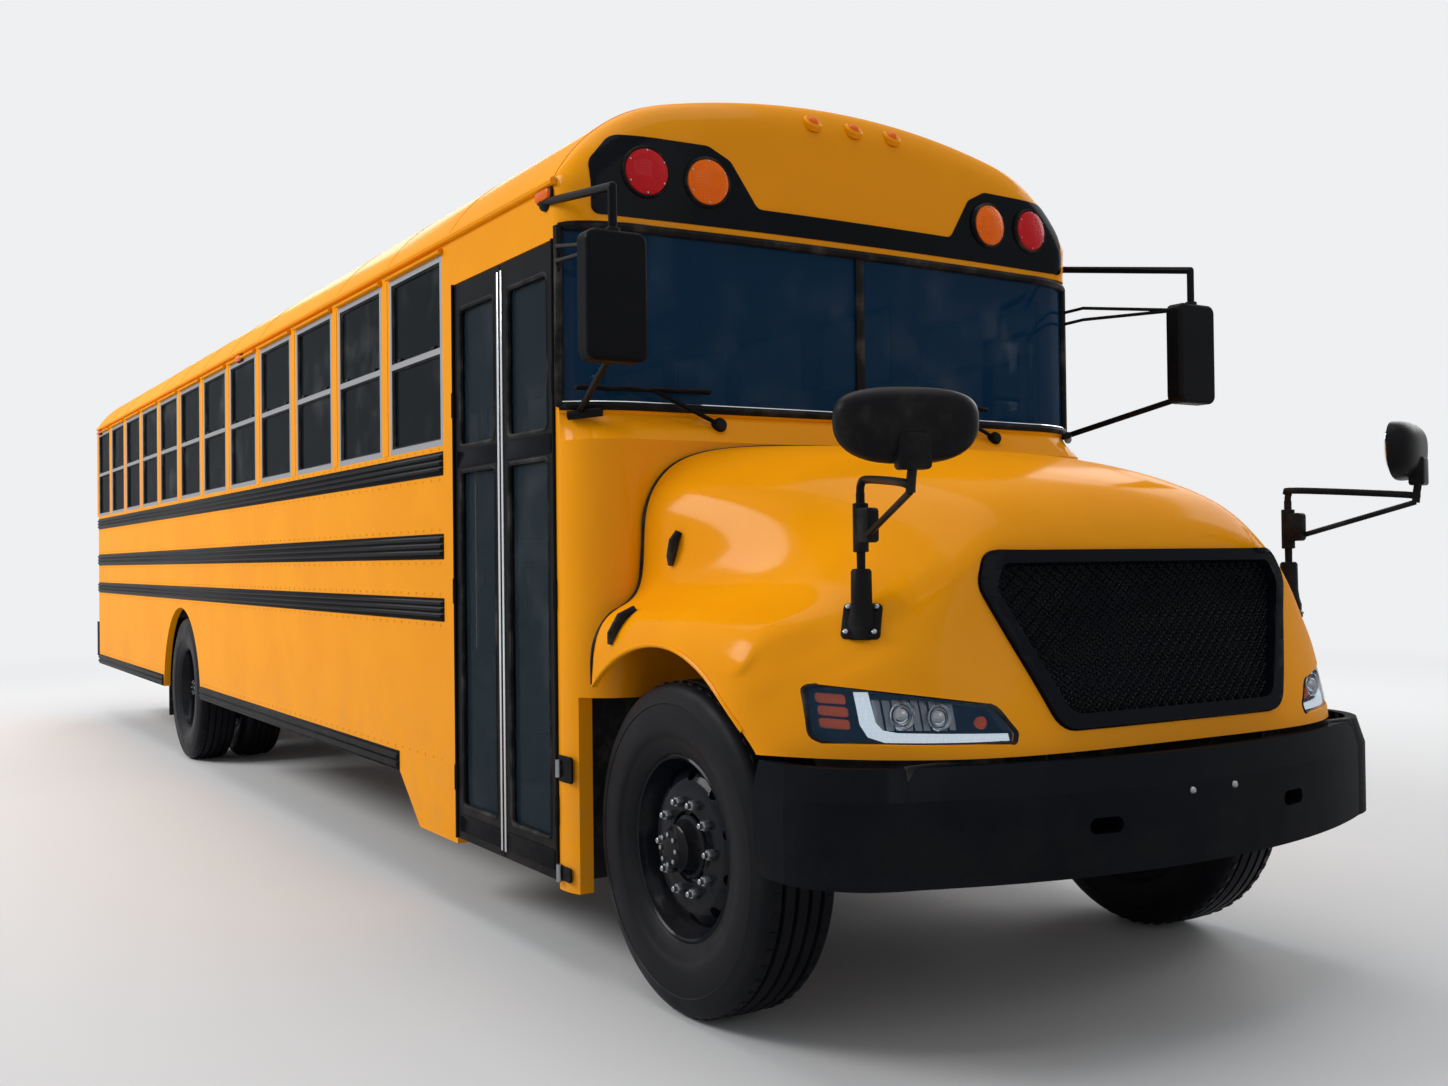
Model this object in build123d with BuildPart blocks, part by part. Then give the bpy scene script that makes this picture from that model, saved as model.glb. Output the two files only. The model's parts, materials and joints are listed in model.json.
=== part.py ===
"""School bus with a bonnet ahead of the cab, built as separate pieces that move as the real ones do.

Frame: millimetres, +X forward, +Y to the driver's side, +Z up. The origin is on the ground under the
middle of the whole length, so the wheels stand on z = 0.
"""
import os
from collections import namedtuple
from math import cos, radians, sin, sqrt

from build123d import *

os.makedirs("parts", exist_ok=True)

# Driving dimensions along the bus
wheelbase = 7112
front_overhang = 1125
rear_bumper_reach = 100
window_count = 12
window_pitch = 777
axle_to_door = 665
door_width = 960
door_post = 125
rear_cap_depth = 109

# Body section
half_width = 1205
wall = 45
floor_top = 1060
floor_thickness = 40
eave_z = 2750
crown_z = 3160
shoulder_share = 0.647
drop_share = 0.215
skirt_z = 490
entry_skirt_z = 280
sill_z = 1900
window_height = eave_z - 60 - sill_z
window_width = 660
frame_border = 26
frame_depth = 38
mid_rail_z = sill_z + window_height / 2
glass = 6
seat_gap = 0.3

# Derived places along the bus
body_length = axle_to_door + door_width + door_post + window_count * window_pitch
overall_length = front_overhang + body_length + rear_bumper_reach
front_axle_x = overall_length / 2 - front_overhang
rear_axle_x = front_axle_x - wheelbase
door_front_x = front_axle_x - axle_to_door
door_rear_x = door_front_x - door_width
windows_front_x = door_rear_x - door_post
body_rear_x = windows_front_x - window_count * window_pitch
rear_seam_x = body_rear_x + rear_cap_depth
inner_y = half_width - wall
roof_rise = crown_z - eave_z
cut_span = half_width + 300
floor_under = floor_top - floor_thickness

# Chassis
rail_y = 430
rail_flange = 80
rail_height = 254
rail_top = 900
rail_web = 9
rail_outer_y = rail_y + rail_flange / 2
rail_inner_y = rail_y - rail_flange / 2
rail_under = rail_top - rail_height
bumper_thickness = 30
rail_front_x = overall_length / 2 - 190
rail_rear_x = -overall_length / 2 + bumper_thickness
cross_height = 170
cross_length = 80
cross_under = rail_top - rail_web - cross_height

# Wheels
tyre_radius = 520
tyre_width = 280
bead_radius = 290
rim_radius = bead_radius - seat_gap
rim_width = 210
front_tyre_y = half_width - 205
dual_spacing = 330
rear_outer_y = half_width - 160
kingpin_y = front_tyre_y - 70
running_fit = 0.05
stud_pcd = 285.75
stud_count = 10
spindle_radius = 45

# Windscreen and cowl
screen_base_z = 1935
screen_top_z = eave_z - 160
cowl_x = front_axle_x - 430
cowl_corner = 200
cowl_base_z = 950
cowl_top_z = 1830
ledge_depth = 130
post_front_x = front_axle_x - 545
screen_face_x = front_axle_x - 500
screen_glass = 8

# Hood
hood_gap = 10
hood_rear_x = cowl_x + hood_gap
hood_base_z = 870
arch_radius = 625
hood_wall = 25
nose_x = overall_length / 2 - 107

# Doors
door_top_z = eave_z - 210
door_base_z = 300
leaf_thickness = 40
leaf_gap = 6
pivot_stand = 5
pivot_radius = 6
rear_door_half = 460
rear_door_top_z = eave_z - 330


def y_plane(y):
    """Plane at a given y, seen from the right side: local axes are X and Z, its normal is -Y."""
    return Plane.XZ.offset(-y)


def block(x, y, z, mode=Mode.ADD):
    """Block from its (low, high) pair along each axis."""
    with Locations(((x[0] + x[1]) / 2, (y[0] + y[1]) / 2, (z[0] + z[1]) / 2)):
        Box(x[1] - x[0], y[1] - y[0], z[1] - z[0], mode=mode)


def rod(start, end, radius, mode=Mode.ADD):
    """Round bar between two points."""
    line = Vector(*end) - Vector(*start)
    with Locations(Plane(origin=start, z_dir=line).location):
        Cylinder(radius, line.length, align=(Align.CENTER, Align.CENTER, Align.MIN), mode=mode)


def roof_arcs(half, eave, crown):
    """Rounded roof line from one eave to the other; returns its two ends."""
    shoulder = shoulder_share * half
    shoulder_z = crown - drop_share * (crown - eave)
    top = ThreePointArc((-shoulder, shoulder_z), (0, crown), (shoulder, shoulder_z))
    TangentArc(top @ 1, (half, eave), tangent=top % 1)
    TangentArc(top @ 0, (-half, eave), tangent=(top % 0) * -1)


def body_outline(half, eave, crown, base):
    """Closed body section: straight sides under the roof line."""
    with BuildLine() as outline:
        roof_arcs(half, eave, crown)
        Polyline((half, eave), (half, base), (-half, base), (-half, eave))
    make_face(outline.edges())


def roof_face(half, eave, crown, mode=Mode.ADD):
    """Closed roof section above the eaves."""
    with BuildLine() as outline:
        roof_arcs(half, eave, crown)
        Line((half, eave), (-half, eave))
    make_face(outline.edges(), mode=mode)


def screen_outline(inset):
    """Plan of the front of the cab: a shallow bow with rounded ends, drawn inset by a thickness."""
    side = half_width - inset
    front = screen_face_x - inset
    with BuildLine() as outline:
        turn_y = half_width - 305 - inset / 3
        corner_y = half_width - 110 - 0.7 * inset
        bow = ThreePointArc((front - 28, -turn_y), (front, 0), (front - 28, turn_y))
        left = ThreePointArc(bow @ 1, (front - 63, corner_y), (front - 135, side))
        right = ThreePointArc(bow @ 0, (front - 63, -corner_y), (front - 135, -side))
        Polyline(left @ 1, (door_front_x, side), (door_front_x, -side), right @ 1)
    make_face(outline.edges())


def cowl_outline(inset):
    """Plan of the cowl: straight front with large round corners, drawn inset by a thickness."""
    side = half_width - inset
    front = cowl_x - inset
    start = cowl_x - cowl_corner
    radius = cowl_corner - inset
    mid = radius * sqrt(0.5)
    with BuildLine() as outline:
        left = ThreePointArc((start, side), (start + mid, side - radius + mid), (front, side - radius))
        right = ThreePointArc((start, -side), (start + mid, -side + radius - mid), (front, -side + radius))
        Line(left @ 1, right @ 1)
        Polyline(left @ 0, (door_front_x, side), (door_front_x, -side), right @ 0)
    make_face(outline.edges())


# Chassis frame: two channel rails joined by cross-members
engine_rear_x = front_axle_x - 305
gearbox_rear_x = engine_rear_x - 570
silencer_rear_x = gearbox_rear_x - 2550
front_stations = [gearbox_rear_x - 150 - k * 1150 for k in range(4)]
chassis_stations = front_stations + [rear_axle_x + place for place in (1290, 590, -810, -3110)]
with BuildPart() as chassis_frame:
    with BuildSketch(Plane.YZ.offset(rail_rear_x)):
        for side in (1, -1):
            with Locations((side * rail_y, rail_top - rail_height / 2)):
                Rectangle(rail_flange, rail_height)
            with Locations((side * (rail_y - rail_web), rail_top - rail_height / 2)):
                Rectangle(rail_flange, rail_height - 2 * rail_web, mode=Mode.SUBTRACT)
    extrude(amount=rail_front_x - rail_rear_x)
    for station in chassis_stations + [rail_front_x - 60, rail_rear_x + 120]:
        block(
            (station - cross_length / 2, station + cross_length / 2),
            (-rail_outer_y + rail_web, rail_outer_y - rail_web),
            (cross_under, rail_top - rail_web),
        )
chassis_frame.part.label = "chassis_frame"
export_step(chassis_frame.part, "parts/chassis_frame.step")

# Engine and gearbox: one plain block each, between the rails
shaft_z = 560
with BuildPart() as engine_block:
    block((engine_rear_x, engine_rear_x + 840), (-320, 320), (640, 1400))
    block((gearbox_rear_x, engine_rear_x), (-160, 160), (470, 800))
    block(
        (engine_rear_x + 300, engine_rear_x + 380),
        (-rail_inner_y + seat_gap, rail_inner_y - seat_gap),
        (rail_under - 6, rail_under + 54),
    )
engine_block.part.label = "engine_block"
export_step(engine_block.part, "parts/engine_block.step")

# Fuel tank between the rails, behind the rear axle
tank_front_x = rear_axle_x - 1300
with BuildPart() as fuel_tank:
    block((tank_front_x - 1500, tank_front_x), (-rail_inner_y + seat_gap, 190), (430, 860))
    fillet(fuel_tank.edges().filter_by(Axis.X), radius=50)
fuel_tank.part.label = "fuel_tank"
export_step(fuel_tank.part, "parts/fuel_tank.step")

# Exhaust: silencer and tail pipe, hung from the cross-members
pipe_y = 300
pipe_z = 600
pipe_radius = 45
pipe_rise = 70
with BuildPart() as exhaust:
    with BuildLine() as pipe_path:
        FilletPolyline(
            (gearbox_rear_x, pipe_y, pipe_z),
            (rear_axle_x + 700, pipe_y, pipe_z),
            (rear_axle_x + 350, pipe_y, pipe_z + pipe_rise),
            (rear_axle_x - 350, pipe_y, pipe_z + pipe_rise),
            (rear_axle_x - 700, pipe_y, pipe_z),
            (body_rear_x + 40, pipe_y, pipe_z),
            radius=200,
        )
    with BuildSketch(Plane(origin=pipe_path.line @ 0, z_dir=pipe_path.line % 0)):
        Circle(pipe_radius)
    sweep()
    rod((silencer_rear_x, pipe_y, pipe_z), (silencer_rear_x + 1100, pipe_y, pipe_z), 95)
    for station in chassis_stations[1:5] + chassis_stations[-1:]:
        block((station - 20, station + 20), (pipe_y - 3, pipe_y + 3), (pipe_z, cross_under - seat_gap))
exhaust.part.label = "exhaust"
export_step(exhaust.part, "parts/exhaust.step")


def leaf_spring(x, y, mid_z, end_z, half_span, eye_radius):
    """Bowed leaf pack with a rolled eye at each end."""
    pack, width = 46, 76
    with BuildSketch(y_plane(y - width / 2)) as side_view:
        with BuildLine():
            upper_end = end_z + pack / 2
            upper = ThreePointArc((x - half_span, upper_end), (x, mid_z + pack), (x + half_span, upper_end))
            lower = ThreePointArc((x - half_span, end_z), (x, mid_z), (x + half_span, end_z))
            Line(upper @ 0, lower @ 0)
            Line(upper @ 1, lower @ 1)
        make_face()
        with Locations((x - half_span, end_z + pack / 4), (x + half_span, end_z + pack / 4)):
            Circle(eye_radius)
    extrude(side_view.sketch, amount=-width)


# Front axle beam with its two leaf springs
spring_half = 650
eye_radius = 30
beam_z = 470
boss_radius = 55
boss_height = 90
with BuildPart() as front_axle:
    block((front_axle_x - 45, front_axle_x + 45), (-kingpin_y, kingpin_y), (beam_z - 40, beam_z + 40))
    for side in (1, -1):
        with Locations((front_axle_x, side * kingpin_y, beam_z)):
            Cylinder(boss_radius, boss_height)
            Cylinder(22 + running_fit, boss_height, mode=Mode.SUBTRACT)
        leaf_spring(
            front_axle_x, side * rail_y, beam_z + 38, rail_under - seat_gap - eye_radius - 11.5, spring_half, eye_radius
        )
front_axle.part.label = "front_axle"
export_step(front_axle.part, "parts/front_axle.step")

# Rear axle: housing, springs and propeller shaft
rear_spring_y = rail_outer_y + 38 + seat_gap
housing_end_y = rear_outer_y - 455
spindle_end_y = rear_outer_y + 40
jack_pad_z = 435
with BuildPart() as rear_axle:
    rod((rear_axle_x, -housing_end_y, tyre_radius), (rear_axle_x, housing_end_y, tyre_radius), 70)
    rod((rear_axle_x, -spindle_end_y, tyre_radius), (rear_axle_x, spindle_end_y, tyre_radius), spindle_radius)
    with Locations((rear_axle_x, 0, tyre_radius)):
        Sphere(190)
    rod((rear_axle_x, 0, shaft_z), (rear_axle_x + 330, 0, shaft_z), 80)
    rod((rear_axle_x + 300, 0, shaft_z), (gearbox_rear_x, 0, shaft_z), 48)
    for side in (1, -1):
        leaf_spring(rear_axle_x, side * rear_spring_y, tyre_radius + 66, 740, 700, eye_radius)
        block(
            (rear_axle_x - 65, rear_axle_x + 65),
            tuple(sorted((side * (rear_spring_y - 42), side * (rear_spring_y + 42)))),
            (jack_pad_z, tyre_radius + 80),
        )
rear_axle.part.label = "rear_axle"
export_step(rear_axle.part, "parts/rear_axle.step")

# Steering knuckles: a fork round each axle boss, the kingpin, the spindle and a tie-rod arm
ear_gap = 0.3
arm_reach = 170
ear_height = 35
tie_eye_height = 28
tie_pin_radius = 12
tie_rod_z = beam_z - boss_height / 2 - 2 * ear_gap - ear_height - tie_eye_height / 2
for name, side in (("knuckle_left", 1), ("knuckle_right", -1)):
    with BuildPart() as knuckle:
        top = beam_z + boss_height / 2 + ear_gap
        low = beam_z - boss_height / 2 - ear_gap
        rod((front_axle_x, side * kingpin_y, low - 35), (front_axle_x, side * kingpin_y, top + 35), 22)
        for ear_low in (low - 35, top):
            with Locations((front_axle_x, side * kingpin_y, ear_low + 17.5)):
                Cylinder(50, 35)
            block(
                (front_axle_x - 50, front_axle_x + 50),
                tuple(sorted((side * kingpin_y, side * (kingpin_y + 64)))),
                (ear_low, ear_low + 35),
            )
        block(
            (front_axle_x - 50, front_axle_x + 50),
            tuple(sorted((side * (kingpin_y + 60), side * (kingpin_y + 66)))),
            (low - 35, top + 100),
        )
        rod(
            (front_axle_x, side * (kingpin_y + 60), tyre_radius),
            (front_axle_x, side * (kingpin_y + 190), tyre_radius),
            spindle_radius,
        )
        block(
            (front_axle_x - arm_reach - 22, front_axle_x),
            tuple(sorted((side * (kingpin_y - 20), side * (kingpin_y + 20)))),
            (low - 35, low - 5),
        )
        rod(
            (front_axle_x - arm_reach, side * kingpin_y, tie_rod_z - tie_eye_height / 2),
            (front_axle_x - arm_reach, side * kingpin_y, low - 5),
            tie_pin_radius,
        )
    knuckle.part.label = name
    export_step(knuckle.part, f"parts/{name}.step")

# Tie rod between the two knuckle arms
tie_x = front_axle_x - arm_reach
tie_eye = 22
with BuildPart() as tie_rod:
    rod((tie_x, -kingpin_y, tie_rod_z), (tie_x, kingpin_y, tie_rod_z), 12)
    with Locations((tie_x, kingpin_y, tie_rod_z), (tie_x, -kingpin_y, tie_rod_z)):
        Cylinder(tie_eye, tie_eye_height)
        Cylinder(tie_pin_radius + running_fit, 2 * tie_eye_height, mode=Mode.SUBTRACT)
tie_rod.part.label = "tie_rod"
export_step(tie_rod.part, "parts/tie_rod.step")


def tyre_section(y):
    """Half section of one tyre, seen in the plane through the axle; local axes are Y and radius."""
    half = tyre_width / 2
    with BuildLine() as outline:
        left = ThreePointArc((y - half + 35, bead_radius), (y - half, 395), (y - half + 18, 490))
        right = ThreePointArc((y + half - 35, bead_radius), (y + half, 395), (y + half - 18, 490))
        Line(left @ 0, right @ 0)
        tread = ThreePointArc((y - half + 38, tyre_radius - 8), (y, tyre_radius), (y + half - 38, tyre_radius - 8))
        Line(left @ 1, tread @ 0)
        Line(right @ 1, tread @ 1)
    make_face(outline.edges())


def barrel_section(y):
    """Half section of one rim barrel with its lips."""
    half = rim_width / 2
    with BuildLine() as outline:
        Polyline(
            (y - half, rim_radius),
            (y + half, rim_radius),
            (y + half, rim_radius - 18),
            (y + half - 50, rim_radius - 34),
            (y - half + 50, rim_radius - 34),
            (y - half, rim_radius - 18),
            (y - half, rim_radius),
            close=True,
        )
    make_face(outline.edges())


def wheel_axis(x):
    return Axis((x, 0, tyre_radius), (0, 1, 0))


def wheel_plane(x):
    """Plane through the wheel's axis; local axes are Y and height above the axis."""
    return Plane(origin=(x, 0, tyre_radius), x_dir=(0, 1, 0), z_dir=(1, 0, 0))


# Front wheels: tyre, and rim with its dished disc, hub and drum
for name, side in (("left", 1), ("right", -1)):
    with BuildPart() as tyre_front:
        with BuildSketch(wheel_plane(front_axle_x)):
            tyre_section(side * front_tyre_y)
        revolve(axis=wheel_axis(front_axle_x))
    tyre_front.part.label = f"tyre_front_{name}"
    export_step(tyre_front.part, f"parts/tyre_front_{name}.step")

    hub_inner = kingpin_y + 66 + seat_gap
    disc_y = front_tyre_y + 62
    hub_end_y = front_tyre_y + 150
    with BuildPart() as rim_front:
        with BuildSketch(wheel_plane(front_axle_x)):
            barrel_section(side * front_tyre_y)
            with BuildLine():
                Polyline(
                    (side * disc_y, 110),
                    (side * (disc_y + 12), 110),
                    (side * (disc_y + 12), 200),
                    (side * (disc_y - 28), rim_radius - 30),
                    (side * (disc_y - 45), rim_radius - 30),
                    (side * disc_y, 200),
                    close=True,
                )
            make_face()
            with BuildLine():
                Polyline(
                    (side * hub_inner, spindle_radius + running_fit),
                    (side * (kingpin_y + 190.3), spindle_radius + running_fit),
                    (side * (kingpin_y + 190.3), 0),
                    (side * hub_end_y, 0),
                    (side * hub_end_y, 62),
                    (side * (disc_y + 12), 78),
                    (side * (disc_y + 12), 165),
                    (side * (disc_y - 16), 165),
                    (side * (disc_y - 16), 205),
                    (side * (disc_y - 60), 205),
                    (side * (disc_y - 60), 195),
                    (side * (disc_y - 28), 195),
                    (side * (disc_y - 28), 90),
                    (side * hub_inner, 90),
                    close=True,
                )
            make_face()
        revolve(axis=wheel_axis(front_axle_x))
        with Locations(Plane(origin=(front_axle_x, side * (disc_y + 12), tyre_radius), z_dir=(0, side, 0)).location):
            with PolarLocations(stud_pcd / 2, stud_count):
                Cylinder(13, 34, align=(Align.CENTER, Align.CENTER, Align.MIN))
    rim_front.part.label = f"rim_front_{name}"
    export_step(rim_front.part, f"parts/rim_front_{name}.step")

# Rear wheels: two tyres and two rims back to back on each hub
rear_inner_y = rear_outer_y - dual_spacing
dual_mid = (rear_outer_y + rear_inner_y) / 2
for name, side in (("left", 1), ("right", -1)):
    with BuildPart() as tyres_rear:
        with BuildSketch(wheel_plane(rear_axle_x)):
            tyre_section(side * rear_outer_y)
            tyre_section(side * rear_inner_y)
        revolve(axis=wheel_axis(rear_axle_x))
    tyres_rear.part.label = f"tyres_rear_{name}"
    export_step(tyres_rear.part, f"parts/tyres_rear_{name}.step")

    with BuildPart() as rims_rear:
        with BuildSketch(wheel_plane(rear_axle_x)):
            barrel_section(side * rear_outer_y)
            barrel_section(side * rear_inner_y)
            for lean in (1, -1):
                with BuildLine():
                    Polyline(
                        (side * dual_mid, 110),
                        (side * (dual_mid + lean * 12), 110),
                        (side * (dual_mid + lean * 12), 205),
                        (side * (dual_mid + lean * 80), rim_radius - 10),
                        (side * (dual_mid + lean * 62), rim_radius - 10),
                        (side * dual_mid, 215),
                        close=True,
                    )
                make_face()
            with BuildLine():
                Polyline(
                    (side * (housing_end_y + 10), spindle_radius + running_fit),
                    (side * (spindle_end_y + seat_gap), spindle_radius + running_fit),
                    (side * (spindle_end_y + seat_gap), 0),
                    (side * (spindle_end_y + 35), 0),
                    (side * (spindle_end_y + 35), 70),
                    (side * (dual_mid + 12), 100),
                    (side * (dual_mid + 12), 165),
                    (side * (dual_mid - 12), 165),
                    (side * (dual_mid - 12), 110),
                    (side * (housing_end_y + 10), 110),
                    close=True,
                )
            make_face()
        revolve(axis=wheel_axis(rear_axle_x))
        with Locations(Plane(origin=(rear_axle_x, side * (dual_mid + 12), tyre_radius), z_dir=(0, side, 0)).location):
            with PolarLocations(stud_pcd / 2, stud_count):
                Cylinder(13, 40, align=(Align.CENTER, Align.CENTER, Align.MIN))
    rims_rear.part.label = f"rims_rear_{name}"
    export_step(rims_rear.part, f"parts/rims_rear_{name}.step")

# Floor: deck on cross sills, wheel housings and the entrance step well
well_front_x = door_front_x - 10
well_rear_x = door_rear_x + 10
well_inner_y = -520
well_wall = 20
tread_count = 3
tread_rise = (floor_top - door_base_z) / (tread_count + 1)
tread_run = (inner_y + well_inner_y) / (tread_count + 1)
house_radius = 680
house_wall = 15
house_inner_y = rear_outer_y - 475
sill_x = [rear_seam_x + 240 + k * window_pitch for k in range(window_count)]
with BuildPart() as floor:
    block((rear_seam_x, door_front_x), (-inner_y, inner_y), (floor_under, floor_top))
    with BuildSketch(Plane.XY.offset(floor_under)):
        cowl_outline(wall)
    extrude(amount=floor_thickness)
    for x in sill_x:
        near_axle = abs(x - rear_axle_x) < house_radius + 60
        reach = house_inner_y - 10 if near_axle else inner_y
        block((x - 30, x + 30), (-reach, reach), (rail_top, floor_under))
    for x in (door_rear_x + 200, door_front_x - 120):
        block((x - 30, x + 30), (well_inner_y + well_wall, inner_y), (rail_top, floor_under))
    block(
        (well_rear_x - well_wall, well_front_x + well_wall),
        (-inner_y, well_inner_y),
        (door_base_z, floor_top),
    )
    for k in range(tread_count + 1):
        block(
            (well_rear_x, well_front_x),
            (-inner_y, well_inner_y - well_wall - k * tread_run),
            (floor_top - (k + 1) * tread_rise + well_wall, floor_top),
            mode=Mode.SUBTRACT,
        )
    for side in (1, -1):
        y = tuple(sorted((side * house_inner_y, side * inner_y)))
        rod((rear_axle_x, y[0], tyre_radius), (rear_axle_x, y[1], tyre_radius), house_radius)
        block(
            (rear_axle_x - house_radius, rear_axle_x + house_radius),
            y,
            (tyre_radius - house_radius, floor_under),
            mode=Mode.SUBTRACT,
        )
        bore = tuple(sorted((side * (house_inner_y + house_wall), side * inner_y)))
        rod(
            (rear_axle_x, bore[0], tyre_radius),
            (rear_axle_x, bore[1], tyre_radius),
            house_radius - house_wall,
            mode=Mode.SUBTRACT,
        )
floor.part.label = "floor"
export_step(floor.part, "parts/floor.step")

# Side walls with their window openings
Opening = namedtuple("Opening", "front_x width low_z height")
cabin_openings = [
    Opening(windows_front_x - k * window_pitch, window_width, sill_z, window_height) for k in range(window_count)
]
driver_opening = Opening(door_front_x - 60, 820, sill_z, door_top_z - sill_z)
arch_top_z = 1110
rear_arch_radius = 650
slope_start_x = door_rear_x - 695
slope_end_x = door_rear_x - 440


def cut_openings(openings):
    for opening in openings:
        with Locations((opening.front_x - opening.width / 2, opening.low_z + opening.height / 2)):
            Rectangle(opening.width, opening.height, mode=Mode.SUBTRACT)


def cut_rear_arch():
    with Locations((rear_axle_x, arch_top_z - rear_arch_radius)):
        Circle(rear_arch_radius, mode=Mode.SUBTRACT)


lug_x = door_rear_x - 50
with BuildPart() as side_wall_left:
    with BuildSketch(y_plane(inner_y)):
        with BuildLine():
            Polyline(
                (rear_seam_x, skirt_z),
                (door_front_x, skirt_z),
                (door_front_x, eave_z),
                (rear_seam_x, eave_z),
                close=True,
            )
        make_face()
        cut_openings(cabin_openings + [driver_opening])
        cut_rear_arch()
    extrude(amount=-wall)
    for low in (1570, 1700):
        block((lug_x - 14, lug_x + 14), (half_width - 1, half_width + 40), (low + seat_gap, low + 30))
side_wall_left.part.label = "side_wall_left"
export_step(side_wall_left.part, "parts/side_wall_left.step")

with BuildPart() as side_wall_right:
    with BuildSketch(y_plane(-inner_y)):
        with BuildLine():
            Polyline(
                (rear_seam_x, skirt_z),
                (slope_start_x, skirt_z),
                (slope_end_x, entry_skirt_z),
                (door_rear_x, entry_skirt_z),
                (door_rear_x, door_top_z),
                (door_front_x, door_top_z),
                (door_front_x, eave_z),
                (rear_seam_x, eave_z),
                close=True,
            )
        make_face()
        cut_openings(cabin_openings)
        cut_rear_arch()
    extrude(amount=wall)
side_wall_right.part.label = "side_wall_right"
export_step(side_wall_right.part, "parts/side_wall_right.step")

# Rub rails along both sides
Rail = namedtuple("Rail", "low_z high_z")
rails = (Rail(1776, 1876), Rail(1429, 1535), Rail(1171, 1268))
rail_proud = 15
skirt_rail_top = 579
arch_half_at_rail = sqrt(rear_arch_radius**2 - (skirt_rail_top - arch_top_z + rear_arch_radius) ** 2)
with BuildPart() as rub_rails:
    for side, front_x in ((1, door_front_x - 20), (-1, windows_front_x)):
        y = tuple(sorted((side * half_width, side * (half_width + rail_proud))))
        for rail in rails:
            block((rear_seam_x, front_x), y, (rail.low_z, rail.high_z))
        skirt_front_x = slope_start_x if side < 0 else front_x
        block((rear_seam_x, rear_axle_x - arch_half_at_rail - 20), y, (skirt_z, skirt_rail_top))
        block((rear_axle_x + arch_half_at_rail + 20, skirt_front_x), y, (skirt_z, skirt_rail_top))
rub_rails.part.label = "rub_rails"
export_step(rub_rails.part, "parts/rub_rails.step")

# Side window frames and panes
pane_set = [(side, opening) for side in (1, -1) for opening in cabin_openings] + [(1, driver_opening)]
with BuildPart() as window_frames:
    for side, opening in pane_set:
        mid_x = opening.front_x - opening.width / 2
        mid_z = opening.low_z + opening.height / 2
        low = min(side * half_width, side * (half_width - frame_depth))
        with BuildSketch(y_plane(low)):
            with Locations((mid_x, mid_z)):
                Rectangle(opening.width, opening.height)
                Rectangle(opening.width - 2 * frame_border, opening.height - 2 * frame_border, mode=Mode.SUBTRACT)
            with Locations((mid_x, mid_rail_z)):
                Rectangle(opening.width - frame_border, frame_border)
        extrude(amount=-frame_depth)
window_frames.part.label = "window_frames"
export_step(window_frames.part, "parts/window_frames.step")

rear_window_y = half_width - 445
rear_window_width = 420
rear_window_span = (rear_window_y - rear_window_width / 2, rear_window_y + rear_window_width / 2)
rear_window_low = 1880
rear_window_height = eave_z - 310 - rear_window_low
pane_inset = 16
with BuildPart() as window_glass:
    for side, opening in pane_set:
        mid_x = opening.front_x - opening.width / 2
        low = min(side * (half_width - pane_inset), side * (half_width - pane_inset - glass))
        for base, top in (
            (opening.low_z + frame_border, mid_rail_z - frame_border / 2),
            (mid_rail_z + frame_border / 2, opening.low_z + opening.height - frame_border),
        ):
            block(
                (mid_x - opening.width / 2 + frame_border, mid_x + opening.width / 2 - frame_border),
                (low, low + glass),
                (base, top),
            )
    for side in (1, -1):
        block(
            (body_rear_x + pane_inset, body_rear_x + pane_inset + glass),
            tuple(sorted(side * y for y in rear_window_span)),
            (rear_window_low, rear_window_low + rear_window_height),
        )
window_glass.part.label = "window_glass"
export_step(window_glass.part, "parts/window_glass.step")

# Roof shell between the two end caps, with two escape hatch coamings
hatch_x = (1200, -3400)
hatch_size = 600
coaming_wall = 30
coaming_top = crown_z + 20
with BuildPart() as roof:
    with BuildSketch(Plane.YZ.offset(rear_seam_x)):
        roof_face(half_width, eave_z, crown_z)
    extrude(amount=door_front_x - rear_seam_x)
    for x in hatch_x:
        outer = hatch_size / 2 + coaming_wall
        block((x - outer, x + outer), (-outer, outer), (crown_z - wall, coaming_top))
    with BuildSketch(Plane.YZ.offset(rear_seam_x)):
        roof_face(inner_y, eave_z, crown_z - wall)
    extrude(amount=door_front_x - rear_seam_x, mode=Mode.SUBTRACT)
    for x in hatch_x:
        inner = hatch_size / 2
        block((x - inner, x + inner), (-inner, inner), (crown_z - 200, coaming_top + 10), mode=Mode.SUBTRACT)
roof.part.label = "roof"
export_step(roof.part, "parts/roof.step")

# Roof hatches, each a lid that lies on its coaming
lid_thickness = 25
for name, x in zip(("front", "rear"), hatch_x):
    with BuildPart() as roof_hatch:
        outer = hatch_size / 2 + coaming_wall
        block((x - outer, x + outer), (-outer, outer), (coaming_top, coaming_top + lid_thickness))
        fillet(roof_hatch.edges().filter_by(Axis.Z), radius=40)
    roof_hatch.part.label = f"roof_hatch_{name}"
    export_step(roof_hatch.part, f"parts/roof_hatch_{name}.step")

# Front cap: the rounded header over the windscreen
CapSection = namedtuple("CapSection", "x half eave crown")
cap_sections = (
    CapSection(door_front_x, half_width, eave_z, crown_z),
    CapSection(door_front_x + 65, half_width - 22, eave_z - 3, crown_z - 0.025 * roof_rise),
    CapSection(door_front_x + 115, half_width - 75, eave_z - 10, crown_z - 0.1 * roof_rise),
    CapSection(door_front_x + 150, half_width - 170, eave_z - 25, crown_z - 0.3 * roof_rise),
)

with BuildPart() as cap_outer:
    for section in cap_sections:
        with BuildSketch(Plane.YZ.offset(section.x)):
            body_outline(section.half, section.eave, section.crown, screen_top_z)
    loft()

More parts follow.
